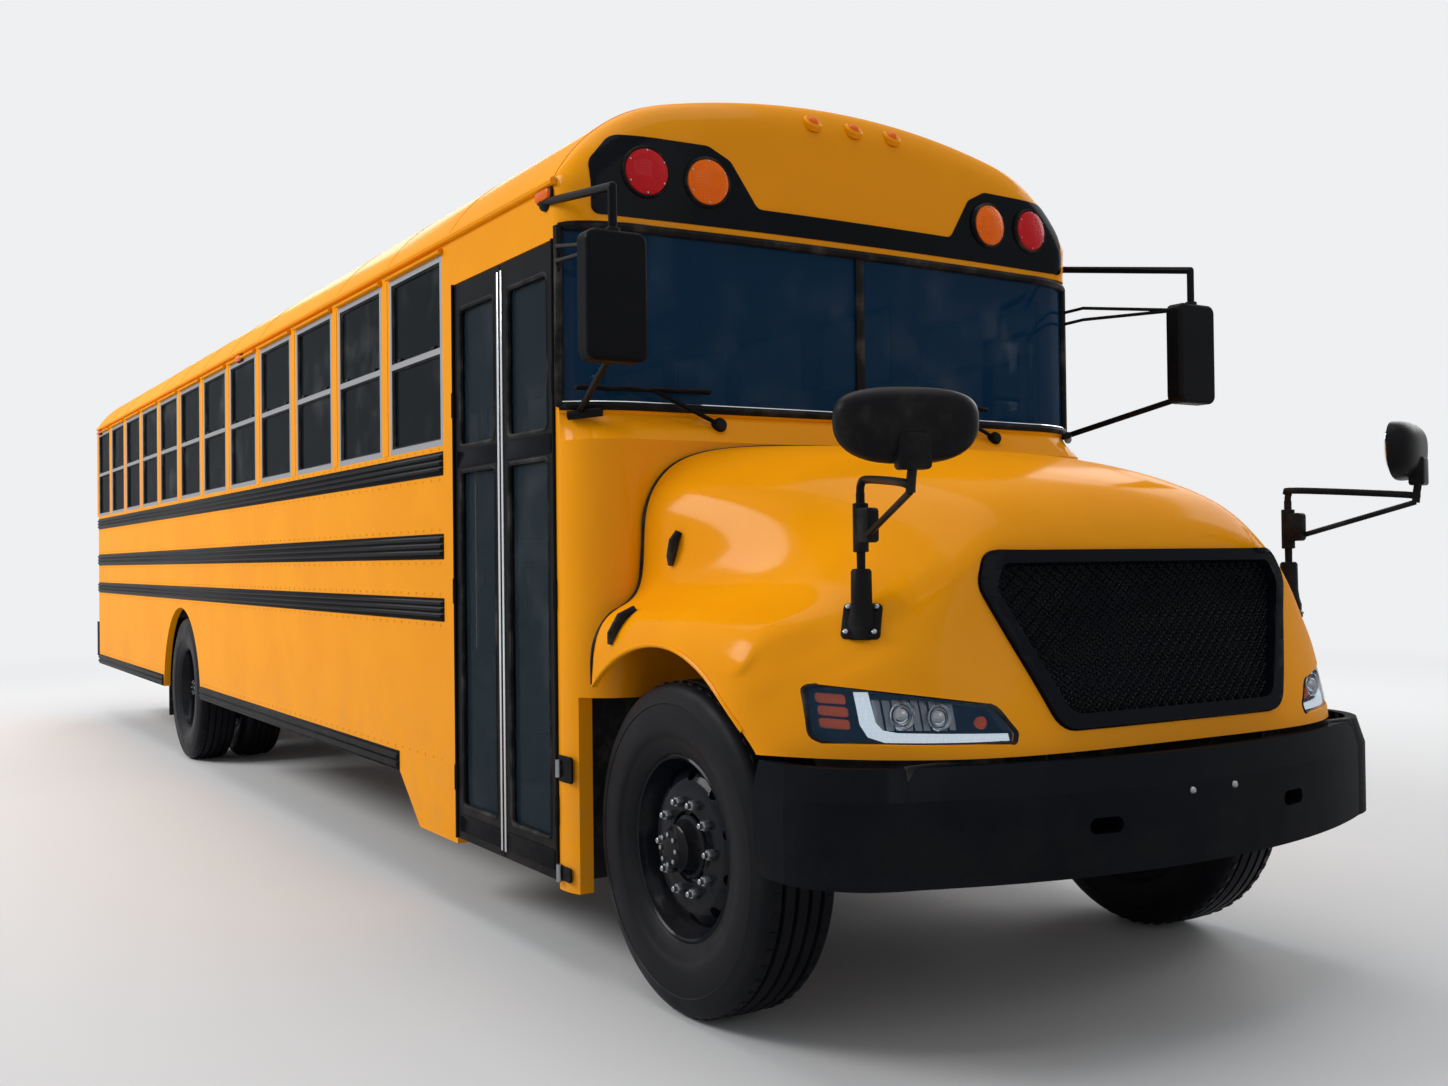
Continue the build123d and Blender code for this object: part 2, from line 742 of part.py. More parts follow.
with BuildPart() as cap_inner:
    for section in cap_sections:
        with BuildSketch(Plane.YZ.offset(section.x - (wall if section.x > door_front_x else 0))):
            body_outline(section.half - wall, section.eave - 2, section.crown - wall, screen_top_z + wall)
    loft()

with BuildPart() as front_cap:
    add(cap_outer.part)
    add(cap_inner.part, mode=Mode.SUBTRACT)
front_cap.part.label = "front_cap"
export_step(front_cap.part, "parts/front_cap.step")

# Rear wall: rounded end cap with the emergency door opening and two windows
rear_sections = (
    CapSection(rear_seam_x, half_width, eave_z, crown_z),
    CapSection(rear_seam_x - 0.55 * rear_cap_depth, half_width - 12, eave_z - 5, crown_z - 0.04 * roof_rise),
    CapSection(rear_seam_x - 0.88 * rear_cap_depth, half_width - 45, eave_z - 15, crown_z - 0.13 * roof_rise),
    CapSection(body_rear_x, half_width - 95, eave_z - 30, crown_z - 0.26 * roof_rise),
)
with BuildPart() as rear_outer:
    for section in rear_sections:
        with BuildSketch(Plane.YZ.offset(section.x)):
            body_outline(section.half, section.eave, section.crown, rail_top)
    loft()

with BuildPart() as rear_inner:
    for section in rear_sections:
        with BuildSketch(Plane.YZ.offset(section.x + (wall if section.x < rear_seam_x else 0))):
            body_outline(section.half - wall, section.eave - 2, section.crown - wall, rail_top - 50)
    loft()

with BuildPart() as rear_wall:
    add(rear_outer.part)
    add(rear_inner.part, mode=Mode.SUBTRACT)
    rear_span = (body_rear_x - 20, rear_seam_x)
    block(rear_span, (-rear_door_half, rear_door_half), (floor_top, rear_door_top_z), mode=Mode.SUBTRACT)
    for side in (1, -1):
        block(
            rear_span,
            tuple(sorted(side * y for y in rear_window_span)),
            (rear_window_low, rear_window_low + rear_window_height),
            mode=Mode.SUBTRACT,
        )
    block(
        (rear_seam_x - 60, rear_seam_x),
        (-rail_outer_y - 1, rail_outer_y + 1),
        (rail_top - 60, rail_top),
        mode=Mode.SUBTRACT,
    )
rear_wall.part.label = "rear_wall"
export_step(rear_wall.part, "parts/rear_wall.step")

# Cowl: firewall with round corners, the sloping ledge under the windscreen and the door posts
with BuildPart() as cowl:
    for inset, mode in ((0, Mode.ADD), (wall, Mode.SUBTRACT)):
        with BuildSketch(Plane.XY.offset(cowl_base_z)):
            cowl_outline(inset)
        extrude(amount=cowl_top_z - cowl_base_z, mode=mode)
    with BuildSketch(Plane.XY.offset(cowl_top_z)):
        cowl_outline(0)
    with BuildSketch(Plane.XY.offset(screen_base_z)):
        screen_outline(0)
    loft(ruled=True)
    with BuildSketch(Plane.XY.offset(cowl_top_z - 5)):
        cowl_outline(ledge_depth)
    extrude(amount=200, mode=Mode.SUBTRACT)
    for side, low in ((1, skirt_z), (-1, entry_skirt_z)):
        for inset, mode in ((0, Mode.ADD), (wall, Mode.SUBTRACT)):
            with BuildSketch(Plane.XY.offset(low)):
                cowl_outline(inset)
                with Locations(((door_front_x + post_front_x) / 2, side * half_width)):
                    Rectangle(post_front_x - door_front_x, 260, mode=Mode.INTERSECT)
            extrude(amount=cowl_base_z - low, mode=mode)
    for side in (1, -1):
        pillar = tuple(sorted((side * (half_width - 60), side * half_width)))
        block((door_front_x, door_front_x + 28), pillar, (screen_base_z, screen_top_z))
cowl.part.label = "cowl"
export_step(cowl.part, "parts/cowl.step")

# Windscreen glass, bowed like the cab front, with round ends
with BuildPart() as windshield:
    for inset, mode in ((2, Mode.ADD), (2 + screen_glass, Mode.SUBTRACT)):
        with BuildSketch(Plane.XY.offset(screen_base_z)):
            screen_outline(inset)
        extrude(amount=screen_top_z - screen_base_z, mode=mode)
    block(
        (door_front_x - 10, door_front_x + 28),
        (-half_width, half_width),
        (screen_base_z, screen_top_z),
        mode=Mode.SUBTRACT,
    )
windshield.part.label = "windshield"
export_step(windshield.part, "parts/windshield.step")

# Hood: one tilting form with wheel arches, made where a side view, a plan and a section meet
HoodSection = namedtuple("HoodSection", "x top_z edge_share edge_z side_share side_z foot_share valley_z fender_z lip_z")
hood_sections = (
    HoodSection(hood_rear_x - 70, 1834, 0.75, 1787, 0.828, 1600, 0.852, 1335, 1232, 1095),
    HoodSection(hood_rear_x + 500, 1792, 0.585, 1737, 0.755, 1560, 0.82, 1352, 1250, 1115),
    HoodSection(hood_rear_x + 880, 1715, 0.52, 1662, 0.68, 1500, 0.79, 1335, 1238, 1105),
    HoodSection(nose_x + 10, 1640, 0.42, 1590, 0.56, 1430, 0.74, 1270, 1180, 1050),
)
lip_y = half_width - 10
hinge_x = nose_x + 27
hinge_z = hood_base_z - 40
hinge_low_y = 220
hinge_bracket_y = 281
hinge_pin_radius = 8
brow_x = nose_x - 136
brow_z = 1425


def hood_section(s, inset):
    """Half of a hood section on each side: crown, round shoulder, side, valley, fender and lip."""
    edge_y = s.edge_share * lip_y
    side_y = s.side_share * lip_y
    foot_y = s.foot_share * lip_y
    for side in (1, -1):
        with BuildLine() as outline:
            top = ThreePointArc(
                (0, s.top_z - inset),
                (side * edge_y / 2, s.top_z - 0.2 * (s.top_z - s.edge_z) - inset),
                (side * edge_y, s.edge_z - inset),
            )
            shoulder_mid = (0.36 * edge_y + 0.64 * side_y - inset, 0.64 * s.edge_z + 0.36 * s.side_z - 0.8 * inset)
            shoulder = ThreePointArc(top @ 1, (side * shoulder_mid[0], shoulder_mid[1]), (side * (side_y - inset), s.side_z))
            valley_mid = (0.7 * foot_y + 0.3 * side_y - inset, 0.5 * s.side_z + 0.5 * s.valley_z - 0.3 * inset)
            flank = ThreePointArc(
                shoulder @ 1, (side * valley_mid[0], valley_mid[1]), (side * (foot_y - inset), s.valley_z - inset)
            )
            fender_y = 0.62 * lip_y + 0.38 * foot_y
            shelf = ThreePointArc(
                flank @ 1,
                (side * (0.5 * fender_y + 0.5 * foot_y - inset), 0.42 * s.valley_z + 0.58 * s.fender_z - inset),
                (side * (fender_y - inset), s.fender_z - inset),
            )
            lip = ThreePointArc(
                shelf @ 1,
                (side * (0.72 * lip_y + 0.28 * fender_y - inset), 0.62 * s.fender_z + 0.38 * s.lip_z - 0.8 * inset),
                (side * (lip_y - inset), s.lip_z - inset),
            )
            Polyline(lip @ 1, (side * (lip_y - inset), 400), (0, 400), top @ 0)
        make_face(outline.edges())


def hood_form(inset):
    """The hood's solid form, shrunk inwards by a distance, or grown where it is negative."""
    with BuildPart() as sections:
        for s in hood_sections:
            with BuildSketch(Plane.YZ.offset(s.x)):
                hood_section(s, inset)
        loft()
    with BuildPart() as profile:
        with BuildSketch(y_plane(-cut_span)):
            with BuildLine():
                top = ThreePointArc(
                    (hood_rear_x - 70, 1838 - inset),
                    (hood_rear_x + 640, 1778 - inset),
                    (nose_x - 245 - inset / 2, 1590 - inset),
                )
                brow = ThreePointArc(
                    top @ 1, (nose_x - 160 - 0.7 * inset, 1520 - 0.7 * inset), (brow_x - inset, brow_z)
                )
                Polyline(
                    brow @ 1,
                    (nose_x - 5 - inset, hood_base_z + 35),
                    (nose_x - inset, hood_base_z),
                    (nose_x - inset, 500),
                    (hood_rear_x - 70, 500),
                    top @ 0,
                )
            make_face()
        extrude(amount=-2 * cut_span)
    with BuildPart() as plan:
        with BuildSketch(Plane.XY.offset(500)):
            with BuildLine():
                front = ThreePointArc((nose_x - 42 - inset, -500), (nose_x - inset, 0), (nose_x - 42 - inset, 500))
                bend_y = lip_y - 305 - 0.7 * inset
                left = ThreePointArc(front @ 1, (nose_x - 175 - inset, bend_y), (nose_x - 560, lip_y - inset))
                right = ThreePointArc(front @ 0, (nose_x - 175 - inset, -bend_y), (nose_x - 560, -lip_y + inset))
                Polyline(left @ 1, (hood_rear_x - 70, lip_y - inset), (hood_rear_x - 70, -lip_y + inset), right @ 1)
            make_face()
        extrude(amount=1600)
    return sections.part & profile.part & plan.part


hood_outer = hood_form(0)
hood_inner = hood_form(hood_wall)
hood_skin_gap = hood_form(-seat_gap)
grille_proud = hood_form(-8)
grille_back = hood_form(20)
lamp_proud = hood_form(-3)
lamp_back = hood_form(40)

grille_top_z = brow_z - 12
grille_low_z = 925
grille_top_half = 645
grille_low_half = 460
lamp_outer_y = lip_y - 70
nose_span = 330


def grille_outline(border):
    with BuildLine() as outline:
        Polyline(
            (-grille_low_half + border, grille_low_z + border),
            (grille_low_half - border, grille_low_z + border),
            (grille_top_half - border, grille_top_z - 90),
            (grille_top_half - border - 40, grille_top_z - border),
            (-grille_top_half + border + 40, grille_top_z - border),
            (-grille_top_half + border, grille_top_z - 90),
            close=True,
        )
    make_face(outline.edges())


def lamp_outline(side, border):
    with BuildLine() as outline:
        Polyline(
            (side * (lamp_outer_y - border), 1072 - border),
            (side * (lamp_outer_y - border), 905 + border),
            (side * (625 + border), 905 + border),
            (side * (625 + border), 935),
            (side * (700 + border), 1030 - border),
            close=True,
        )
    make_face(outline.edges())


with BuildPart() as hood:
    add(hood_outer)
    add(hood_inner, mode=Mode.SUBTRACT)
    block((hood_rear_x - 200, nose_x + 50), (-cut_span, cut_span), (300, hood_base_z), mode=Mode.SUBTRACT)
    arch_ends = ((front_axle_x, -cut_span, tyre_radius), (front_axle_x, cut_span, tyre_radius))
    rod(*arch_ends, arch_radius, mode=Mode.SUBTRACT)
    with BuildSketch(Plane.XY.offset(300)):
        cowl_outline(-hood_gap)
    extrude(amount=1600, mode=Mode.SUBTRACT)
    with BuildSketch(Plane.YZ.offset(nose_x - nose_span)):
        grille_outline(0)
    extrude(amount=nose_span + 60, mode=Mode.SUBTRACT)
    for side in (1, -1):
        with BuildSketch(Plane.YZ.offset(nose_x - 520)):
            lamp_outline(side, 0)
        extrude(amount=600, mode=Mode.SUBTRACT)
    for side in (1, -1):
        ends = (side * hinge_low_y, side * (hinge_bracket_y - seat_gap))
        low_y, high_y = sorted(ends)
        block((nose_x - 20, hinge_x), (low_y, high_y), (hinge_z - 8, hinge_z + 8))
        block((nose_x - 20, nose_x - 5), (low_y, high_y), (hinge_z - 8, hood_base_z + 30))
        rod((hinge_x, ends[0], hinge_z), (hinge_x, ends[1], hinge_z), 13)
        bore = hinge_pin_radius + running_fit
        rod((hinge_x, ends[0], hinge_z), (hinge_x, ends[1], hinge_z), bore, mode=Mode.SUBTRACT)
hood.part.label = "hood"
export_step(hood.part, "parts/hood.step")

# Grille: frame and screen that follow the nose
with BuildPart() as grille:
    with BuildSketch(Plane.YZ.offset(nose_x - nose_span)):
        grille_outline(seat_gap)
    extrude(amount=nose_span + 60)
    add(grille_proud, mode=Mode.INTERSECT)
    add(grille_back, mode=Mode.SUBTRACT)
grille.part.label = "grille"
export_step(grille.part, "parts/grille.step")

# Headlamps: one wedge each side that follows the round of the nose
with BuildPart() as headlamps:
    for side in (1, -1):
        with BuildSketch(Plane.YZ.offset(nose_x - 520)):
            lamp_outline(side, seat_gap)
        extrude(amount=600)
    add(lamp_proud, mode=Mode.INTERSECT)
    add(lamp_back, mode=Mode.SUBTRACT)
headlamps.part.label = "headlamps"
export_step(headlamps.part, "parts/headlamps.step")

# Cross-view mirrors on the hood: foot, bent post and a wide egg-shaped head cut flat at the back
mirror_foot_x = front_axle_x + 700
mirror_foot_y = lip_y - 270
egg_half = 182
egg_radius = 104
egg_flat = 0.62
egg_x = overall_length / 2 - egg_flat * egg_radius
egg_y = lip_y - 142
egg_z = 1753
with BuildPart() as egg:
    with BuildSketch(Plane.YZ):
        with BuildLine() as egg_outline:
            crown = ThreePointArc((-120, 80), (0, egg_radius), (120, 80))
            near = ThreePointArc(crown @ 1, (165, 50), (egg_half, 0))
            far = ThreePointArc(crown @ 0, (-165, 50), (-egg_half, 0))
            Line(near @ 1, far @ 1)
        make_face(egg_outline.edges())
    revolve(axis=Axis.Y)
    block((-egg_radius - 5, -30), (-egg_half, egg_half), (-egg_radius, egg_radius), mode=Mode.SUBTRACT)
    scale(by=(egg_flat, 1, 1))
with BuildPart() as hood_mirrors:
    for side in (1, -1):
        foot = (mirror_foot_x, side * mirror_foot_y)
        rod((*foot, 1100), (*foot, 1250), 45)
        rod((*foot, 1240), (*foot, egg_z - 210), 14)
        with Locations((*foot, egg_z - 210)):
            Sphere(14)
        rod((*foot, egg_z - 210), (egg_x - 10, side * egg_y, egg_z - 100), 12)
        with Locations((egg_x, side * egg_y, egg_z)):
            add(egg.part)
    add(hood_skin_gap, mode=Mode.SUBTRACT)
hood_mirrors.part.label = "hood_mirrors"
export_step(hood_mirrors.part, "parts/hood_mirrors.step")

# Front bumper: a deep channel that bows across the front and wraps both corners
bumper_low_z = 545
bumper_top_z = 860
bumper_break_z = 775
bumper_lean = 22
bumper_half = half_width - 20
bumper_wrap_x = front_axle_x + 535
tow_slot_y = 398
tow_slot_z = 680
plate_bolt_y = 89
plate_bolt_z = 750
plate_bolt_radius = 4.5


def bumper_outline(inset):
    nose = overall_length / 2 - inset
    side = bumper_half - inset
    with BuildLine() as outline:
        turn_y = bumper_half - 235 - 0.4 * inset
        corner_y = bumper_half - 67 - 0.75 * inset
        bow = ThreePointArc((nose - 190, -turn_y), (nose, 0), (nose - 190, turn_y))
        left = ThreePointArc(bow @ 1, (nose - 290, corner_y), (nose - 440, side))
        right = ThreePointArc(bow @ 0, (nose - 290, -corner_y), (nose - 440, -side))
        Polyline(left @ 1, (bumper_wrap_x, side), (bumper_wrap_x, -side), right @ 1)
    make_face(outline.edges())


def bumper_form(inset):
    """Upright band with a band above it that leans back."""
    with BuildPart() as form:
        with BuildSketch(Plane.XY.offset(bumper_low_z)):
            bumper_outline(inset)
        extrude(amount=bumper_break_z - bumper_low_z)
        for z, lean in ((bumper_break_z, 0), (bumper_top_z, bumper_lean)):
            with BuildSketch(Plane.XY.offset(z)):
                bumper_outline(inset + lean)
        loft(ruled=True)
    return form.part


bumper_solid = bumper_form(0)
with BuildPart() as front_bumper:
    add(bumper_solid)
    add(bumper_form(bumper_thickness), mode=Mode.SUBTRACT)
    block((rail_front_x, overall_length / 2 - 40), (-rail_outer_y, rail_outer_y), (rail_under, hinge_z - 30))
    add(bumper_solid, mode=Mode.INTERSECT)
    for side in (1, -1):
        y = tuple(sorted((side * hinge_bracket_y, side * (hinge_bracket_y + 25))))
        block((hinge_x - 22, hinge_x + 22), y, (hinge_z - 40, hinge_z + 18))
        rod((hinge_x, side * hinge_low_y, hinge_z), (hinge_x, side * (hinge_bracket_y + 5), hinge_z), hinge_pin_radius)
    with BuildSketch(Plane.YZ.offset(overall_length / 2 - 100)):
        with Locations((tow_slot_y, tow_slot_z), (-tow_slot_y, tow_slot_z)):
            SlotOverall(110, 44)
        with Locations((plate_bolt_y, plate_bolt_z), (-plate_bolt_y, plate_bolt_z)):
            Circle(plate_bolt_radius)
    extrude(amount=150, mode=Mode.SUBTRACT)
front_bumper.part.label = "front_bumper"
export_step(front_bumper.part, "parts/front_bumper.step")

# Rear bumper: a channel that wraps to the side walls
with BuildPart() as rear_bumper:
    rear_face = -overall_length / 2
    block((rear_face, rear_seam_x), (-half_width, half_width), (560, rail_top - 15))
    fillet(rear_bumper.edges().filter_by(Axis.Z).group_by(Axis.X)[0], radius=70)
    block(
        (rear_face + bumper_thickness, rear_seam_x),
        (-half_width + bumper_thickness, half_width - bumper_thickness),
        (500, rail_top),
        mode=Mode.SUBTRACT,
    )
rear_bumper.part.label = "rear_bumper"
export_step(rear_bumper.part, "parts/rear_bumper.step")

# Service door: two leaves that swing outwards on pivots at their outer edges
door_split_x = (door_front_x + door_rear_x) / 2
meeting_gap = 8
leaf_border = 58
leaf_low_z = door_base_z + leaf_gap
leaf_high_z = door_top_z - leaf_gap
Pane = namedtuple("Pane", "low_z high_z")
cross_low_z = 1781
cross_high_z = 1879
leaf_panes = (Pane(440, cross_low_z), Pane(cross_high_z, door_top_z - 106))
leaf_y = (-half_width, -half_width + leaf_thickness)
glass_y = (-half_width + 17, -half_width + 17 + glass)
leaves = (
    ("rear", door_rear_x + leaf_gap, door_split_x - meeting_gap / 2, door_rear_x + leaf_gap),
    ("front", door_split_x + meeting_gap / 2, door_front_x - leaf_gap, door_front_x - leaf_gap),
)
for name, low_x, high_x, pivot_x in leaves:
    with BuildPart() as service_door:
        block((low_x, high_x), leaf_y, (leaf_low_z, leaf_high_z))
        for pane in leaf_panes:
            block(
                (low_x + leaf_border, high_x - leaf_border),
                (leaf_y[0] - 5, leaf_y[1] + 5),
                (pane.low_z, pane.high_z),
                mode=Mode.SUBTRACT,
            )
        rod(
            (pivot_x, -half_width - pivot_stand, leaf_low_z),
            (pivot_x, -half_width - pivot_stand, door_top_z - seat_gap),
            pivot_radius,
        )
    service_door.part.label = f"service_door_{name}"
    export_step(service_door.part, f"parts/service_door_{name}.step")

    with BuildPart() as door_glass:
        for pane in leaf_panes:
            block((low_x + leaf_border, high_x - leaf_border), glass_y, (pane.low_z, pane.high_z))
    door_glass.part.label = f"service_glass_{name}"
    export_step(door_glass.part, f"parts/service_glass_{name}.step")

# Rear emergency door, hinged at its right edge
rear_panes = (Pane(1240, 1700), Pane(1840, rear_door_top_z - 90))
rear_leaf_half = rear_door_half - leaf_gap
rear_leaf_x = (body_rear_x, body_rear_x + leaf_thickness)
with BuildPart() as rear_door:
    block(rear_leaf_x, (-rear_leaf_half, rear_leaf_half), (floor_top + leaf_gap, rear_door_top_z - leaf_gap))
    for pane in rear_panes:
        block(
            (body_rear_x - 5, body_rear_x + leaf_thickness + 5),
            (-rear_leaf_half + 110, rear_leaf_half - 110),
            (pane.low_z, pane.high_z),
            mode=Mode.SUBTRACT,
        )
    rod(
        (body_rear_x - pivot_stand, -rear_leaf_half, floor_top + leaf_gap),
        (body_rear_x - pivot_stand, -rear_leaf_half, rear_door_top_z - seat_gap),
        pivot_radius,
    )
rear_door.part.label = "rear_door"
export_step(rear_door.part, "parts/rear_door.step")

with BuildPart() as rear_door_glass:
    for pane in rear_panes:
        block(
            (body_rear_x + 17, body_rear_x + 17 + glass),
            (-rear_leaf_half + 110, rear_leaf_half - 110),
            (pane.low_z, pane.high_z),
        )
rear_door_glass.part.label = "rear_door_glass"
export_step(rear_door_glass.part, "parts/rear_door_glass.step")

# Stop arm on the driver's side, hinged between two lugs of the wall
stop_low_z = 1600
stop_high_z = 1700
stop_pivot_y = half_width + 27
stop_size = 457
with BuildPart() as stop_arm:
    rod((lug_x, stop_pivot_y, stop_low_z + seat_gap), (lug_x, stop_pivot_y, stop_high_z), 12)
    block((lug_x - 120, lug_x), (stop_pivot_y - 4, stop_pivot_y + 4), (stop_low_z + 10, stop_high_z - 10))
    plate_z = (stop_low_z + stop_high_z) / 2
    with BuildSketch(Plane(origin=(lug_x - 110 - stop_size / 2, stop_pivot_y - 5, plate_z), z_dir=(0, 1, 0))):
        RegularPolygon(stop_size / 2, 8, major_radius=False, rotation=22.5)
    extrude(amount=10)
stop_arm.part.label = "stop_arm"
export_step(stop_arm.part, "parts/stop_arm.step")

# Warning lamps over the windscreen and on the rear wall
LampPlace = namedtuple("LampPlace", "y z")
front_lamp_places = (LampPlace(half_width - 290, eave_z + 25), LampPlace(half_width - 533, eave_z + 18))
rear_lamp_places = (LampPlace(half_width - 305, eave_z - 5), LampPlace(half_width - 555, eave_z + 10))
lamp_radius = 89
cap_front_x = cap_sections[-1].x
with BuildPart() as warning_lamps:
    for side in (1, -1):
        for place in front_lamp_places:
            rod((cap_front_x, side * place.y, place.z), (cap_front_x + 42, side * place.y, place.z), lamp_radius)
    for side in (1, -1):
        for place in rear_lamp_places:
            rod((body_rear_x - 42, side * place.y, place.z), (body_rear_x, side * place.y, place.z), lamp_radius)
warning_lamps.part.label = "warning_lamps"
export_step(warning_lamps.part, "parts/warning_lamps.step")

# Tail lamps on the rear wall
tail_lamp_places = [LampPlace(half_width - 205, low) for low in (1180, 1390, 1600)]
with BuildPart() as tail_lamps:
    for side in (1, -1):
        for place in tail_lamp_places:
            rod((body_rear_x - 32, side * place.y, place.z), (body_rear_x, side * place.y, place.z), 88)
tail_lamps.part.label = "tail_lamps"
export_step(tail_lamps.part, "parts/tail_lamps.step")

# Side mirrors: a tall head on an upper arm and a lower strut
mirror_x = front_axle_x - 20
mirror_y = half_width + 105
mirror_mid_z = 2220
with BuildPart() as mirror_head:
    Box(70, 210, 400)
    fillet(mirror_head.edges().filter_by(Axis.X), radius=34)
    fillet(mirror_head.faces().sort_by(Axis.X)[-1].edges(), radius=16)
with BuildPart() as side_mirrors:
    for side in (1, -1):
        with Locations((mirror_x, side * mirror_y, mirror_mid_z)):
            add(mirror_head.part)
        rod((door_front_x - 60, side * half_width, eave_z - 70), (mirror_x, side * mirror_y, 2560), 14)
        with Locations((mirror_x, side * mirror_y, 2560)):
            Sphere(14)
        rod((mirror_x, side * mirror_y, 2560), (mirror_x, side * mirror_y, 2400), 14)
        rod((door_front_x + 60, side * (half_width - 55), 1920), (mirror_x, side * mirror_y, 2060), 12)
    for seat in (front_cap, side_wall_left, side_wall_right, cowl):
        add(seat.part, mode=Mode.SUBTRACT)
side_mirrors.part.label = "side_mirrors"
export_step(side_mirrors.part, "parts/side_mirrors.step")

# Wipers: one arm and one blade on each half of the windscreen
wiper_pivot_y = 656
wiper_z = screen_base_z - 40
with BuildPart() as wipers:
    for side in (1, -1):
        rod((screen_face_x, side * wiper_pivot_y, wiper_z), (screen_face_x + 40, side * wiper_pivot_y, wiper_z), 22)
        rod(
            (screen_face_x + 34, side * wiper_pivot_y, wiper_z),
            (screen_face_x + 22, side * wiper_pivot_y - 260, screen_base_z + 70),
            8,
        )
        rod(
            (screen_face_x + 16, side * wiper_pivot_y - 30, screen_base_z + 75),
            (screen_face_x + 16, side * wiper_pivot_y - 560, screen_base_z + 65),
            8,
        )
    add(cowl.part, mode=Mode.SUBTRACT)
wipers.part.label = "wipers"
export_step(wipers.part, "parts/wipers.step")

# Mud flaps behind the rear wheels
with BuildPart() as mud_flaps:
    for side in (1, -1):
        y = tuple(sorted((side * 600, side * inner_y)))
        block((rear_axle_x - house_radius - 20, rear_axle_x - house_radius - 10), y, (260, floor_under))
mud_flaps.part.label = "mud_flaps"
export_step(mud_flaps.part, "parts/mud_flaps.step")

# Passenger benches in two columns, each with its aisle-side leg frame
bench_pitch = 735
bench_rows = 12
bench_rear_x = rear_seam_x + 160
bench_inner_y = 170
cushion_z = 1390
bench_x = [bench_rear_x + k * bench_pitch for k in range(bench_rows)]
with BuildPart() as passenger_seats:
    for side in (1, -1):
        for x in bench_x:
            with BuildSketch(y_plane(side * bench_inner_y)):
                with BuildLine():
                    Polyline(
                        (x, cushion_z),
                        (x + 480, cushion_z + 20),
                        (x + 480, cushion_z + 130),
                        (x + 100, cushion_z + 115),
                        (x + 10, cushion_z + 620),
                        (x - 80, cushion_z + 620),
                        close=True,
                    )
                make_face()
            extrude(amount=-side * (inner_y - seat_gap - bench_inner_y))
passenger_seats.part.label = "passenger_seats"
export_step(passenger_seats.part, "parts/passenger_seats.step")

with BuildPart() as seat_frames:
    for side in (1, -1):
        for x in bench_x:
            with BuildSketch(y_plane(side * (bench_inner_y + 60))):
                with BuildLine():
                    Polyline(
                        (x + 60, floor_top),
                        (x + 440, floor_top),
                        (x + 380, cushion_z + 15.8),
                        (x + 100, cushion_z + 4.16),
                        close=True,
                    )
                make_face()
            extrude(amount=-side * 30)
seat_frames.part.label = "seat_frames"
export_step(seat_frames.part, "parts/seat_frames.step")

# Driver's seat
driver_y = 520
driver_seat_x = 3600
with BuildPart() as driver_seat:
    block((driver_seat_x + 60, driver_seat_x + 420), (driver_y - 150, driver_y + 150), (floor_top, floor_top + 330))
    block((driver_seat_x, driver_seat_x + 480), (driver_y - 250, driver_y + 250), (floor_top + 330, floor_top + 450))
    block((driver_seat_x - 60, driver_seat_x + 60), (driver_y - 240, driver_y + 240), (floor_top + 330, floor_top + 1150))
driver_seat.part.label = "driver_seat"
export_step(driver_seat.part, "parts/driver_seat.step")

# Dashboard with the steering column
wheel_hub = Vector(4170, driver_y, 1850)
column_lean = 30
column_dir = Vector(sin(radians(column_lean)), 0, -cos(radians(column_lean)))
dash_half = half_width - 205
with BuildPart() as dashboard:
    with BuildSketch(y_plane(-dash_half)):
        with BuildLine():
            Polyline(
                (cowl_x - wall, 1450),
                (cowl_x - wall, 1820),
                (cowl_x - wall - 60, 1820),
                (cowl_x - wall - 190, 1740),
                (cowl_x - wall - 150, 1450),
                close=True,
            )
        make_face()
    extrude(amount=-2 * dash_half)
    rod(tuple(wheel_hub + column_dir * 30.3), tuple(wheel_hub + column_dir * 520), 35)
dashboard.part.label = "dashboard"
export_step(dashboard.part, "parts/dashboard.step")

with BuildPart() as steering_wheel:
    with Locations(Plane(origin=wheel_hub, z_dir=-column_dir).location):
        Torus(225, 15)
        Cylinder(45, 60)
        with PolarLocations(0, 3):
            Box(225, 30, 14, align=(Align.MIN, Align.CENTER, Align.CENTER))
steering_wheel.part.label = "steering_wheel"
export_step(steering_wheel.part, "parts/steering_wheel.step")

# Grab rail behind the entrance
with BuildPart() as grab_rails:
    with BuildLine() as rail_path:
        FilletPolyline(
            (door_rear_x - 40, well_inner_y - 20, floor_top),
            (door_rear_x - 40, well_inner_y - 20, floor_top + 850),
            (door_rear_x - 40, -inner_y + 60, floor_top + 850),
            (door_rear_x - 40, -inner_y + 60, floor_top),
            radius=60,
        )
    with BuildSketch(Plane(origin=rail_path.line @ 0, z_dir=rail_path.line % 0)):
        Circle(16)
    sweep()
grab_rails.part.label = "grab_rails"
export_step(grab_rails.part, "parts/grab_rails.step")
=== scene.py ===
"""Looks of the school bus: moulded hood and header, lamps, mirrors, tread, mesh, seals and finishes."""
import json
import math

import bmesh
import bpy
from mathutils import Matrix, Vector
from mathutils.geometry import tessellate_polygon


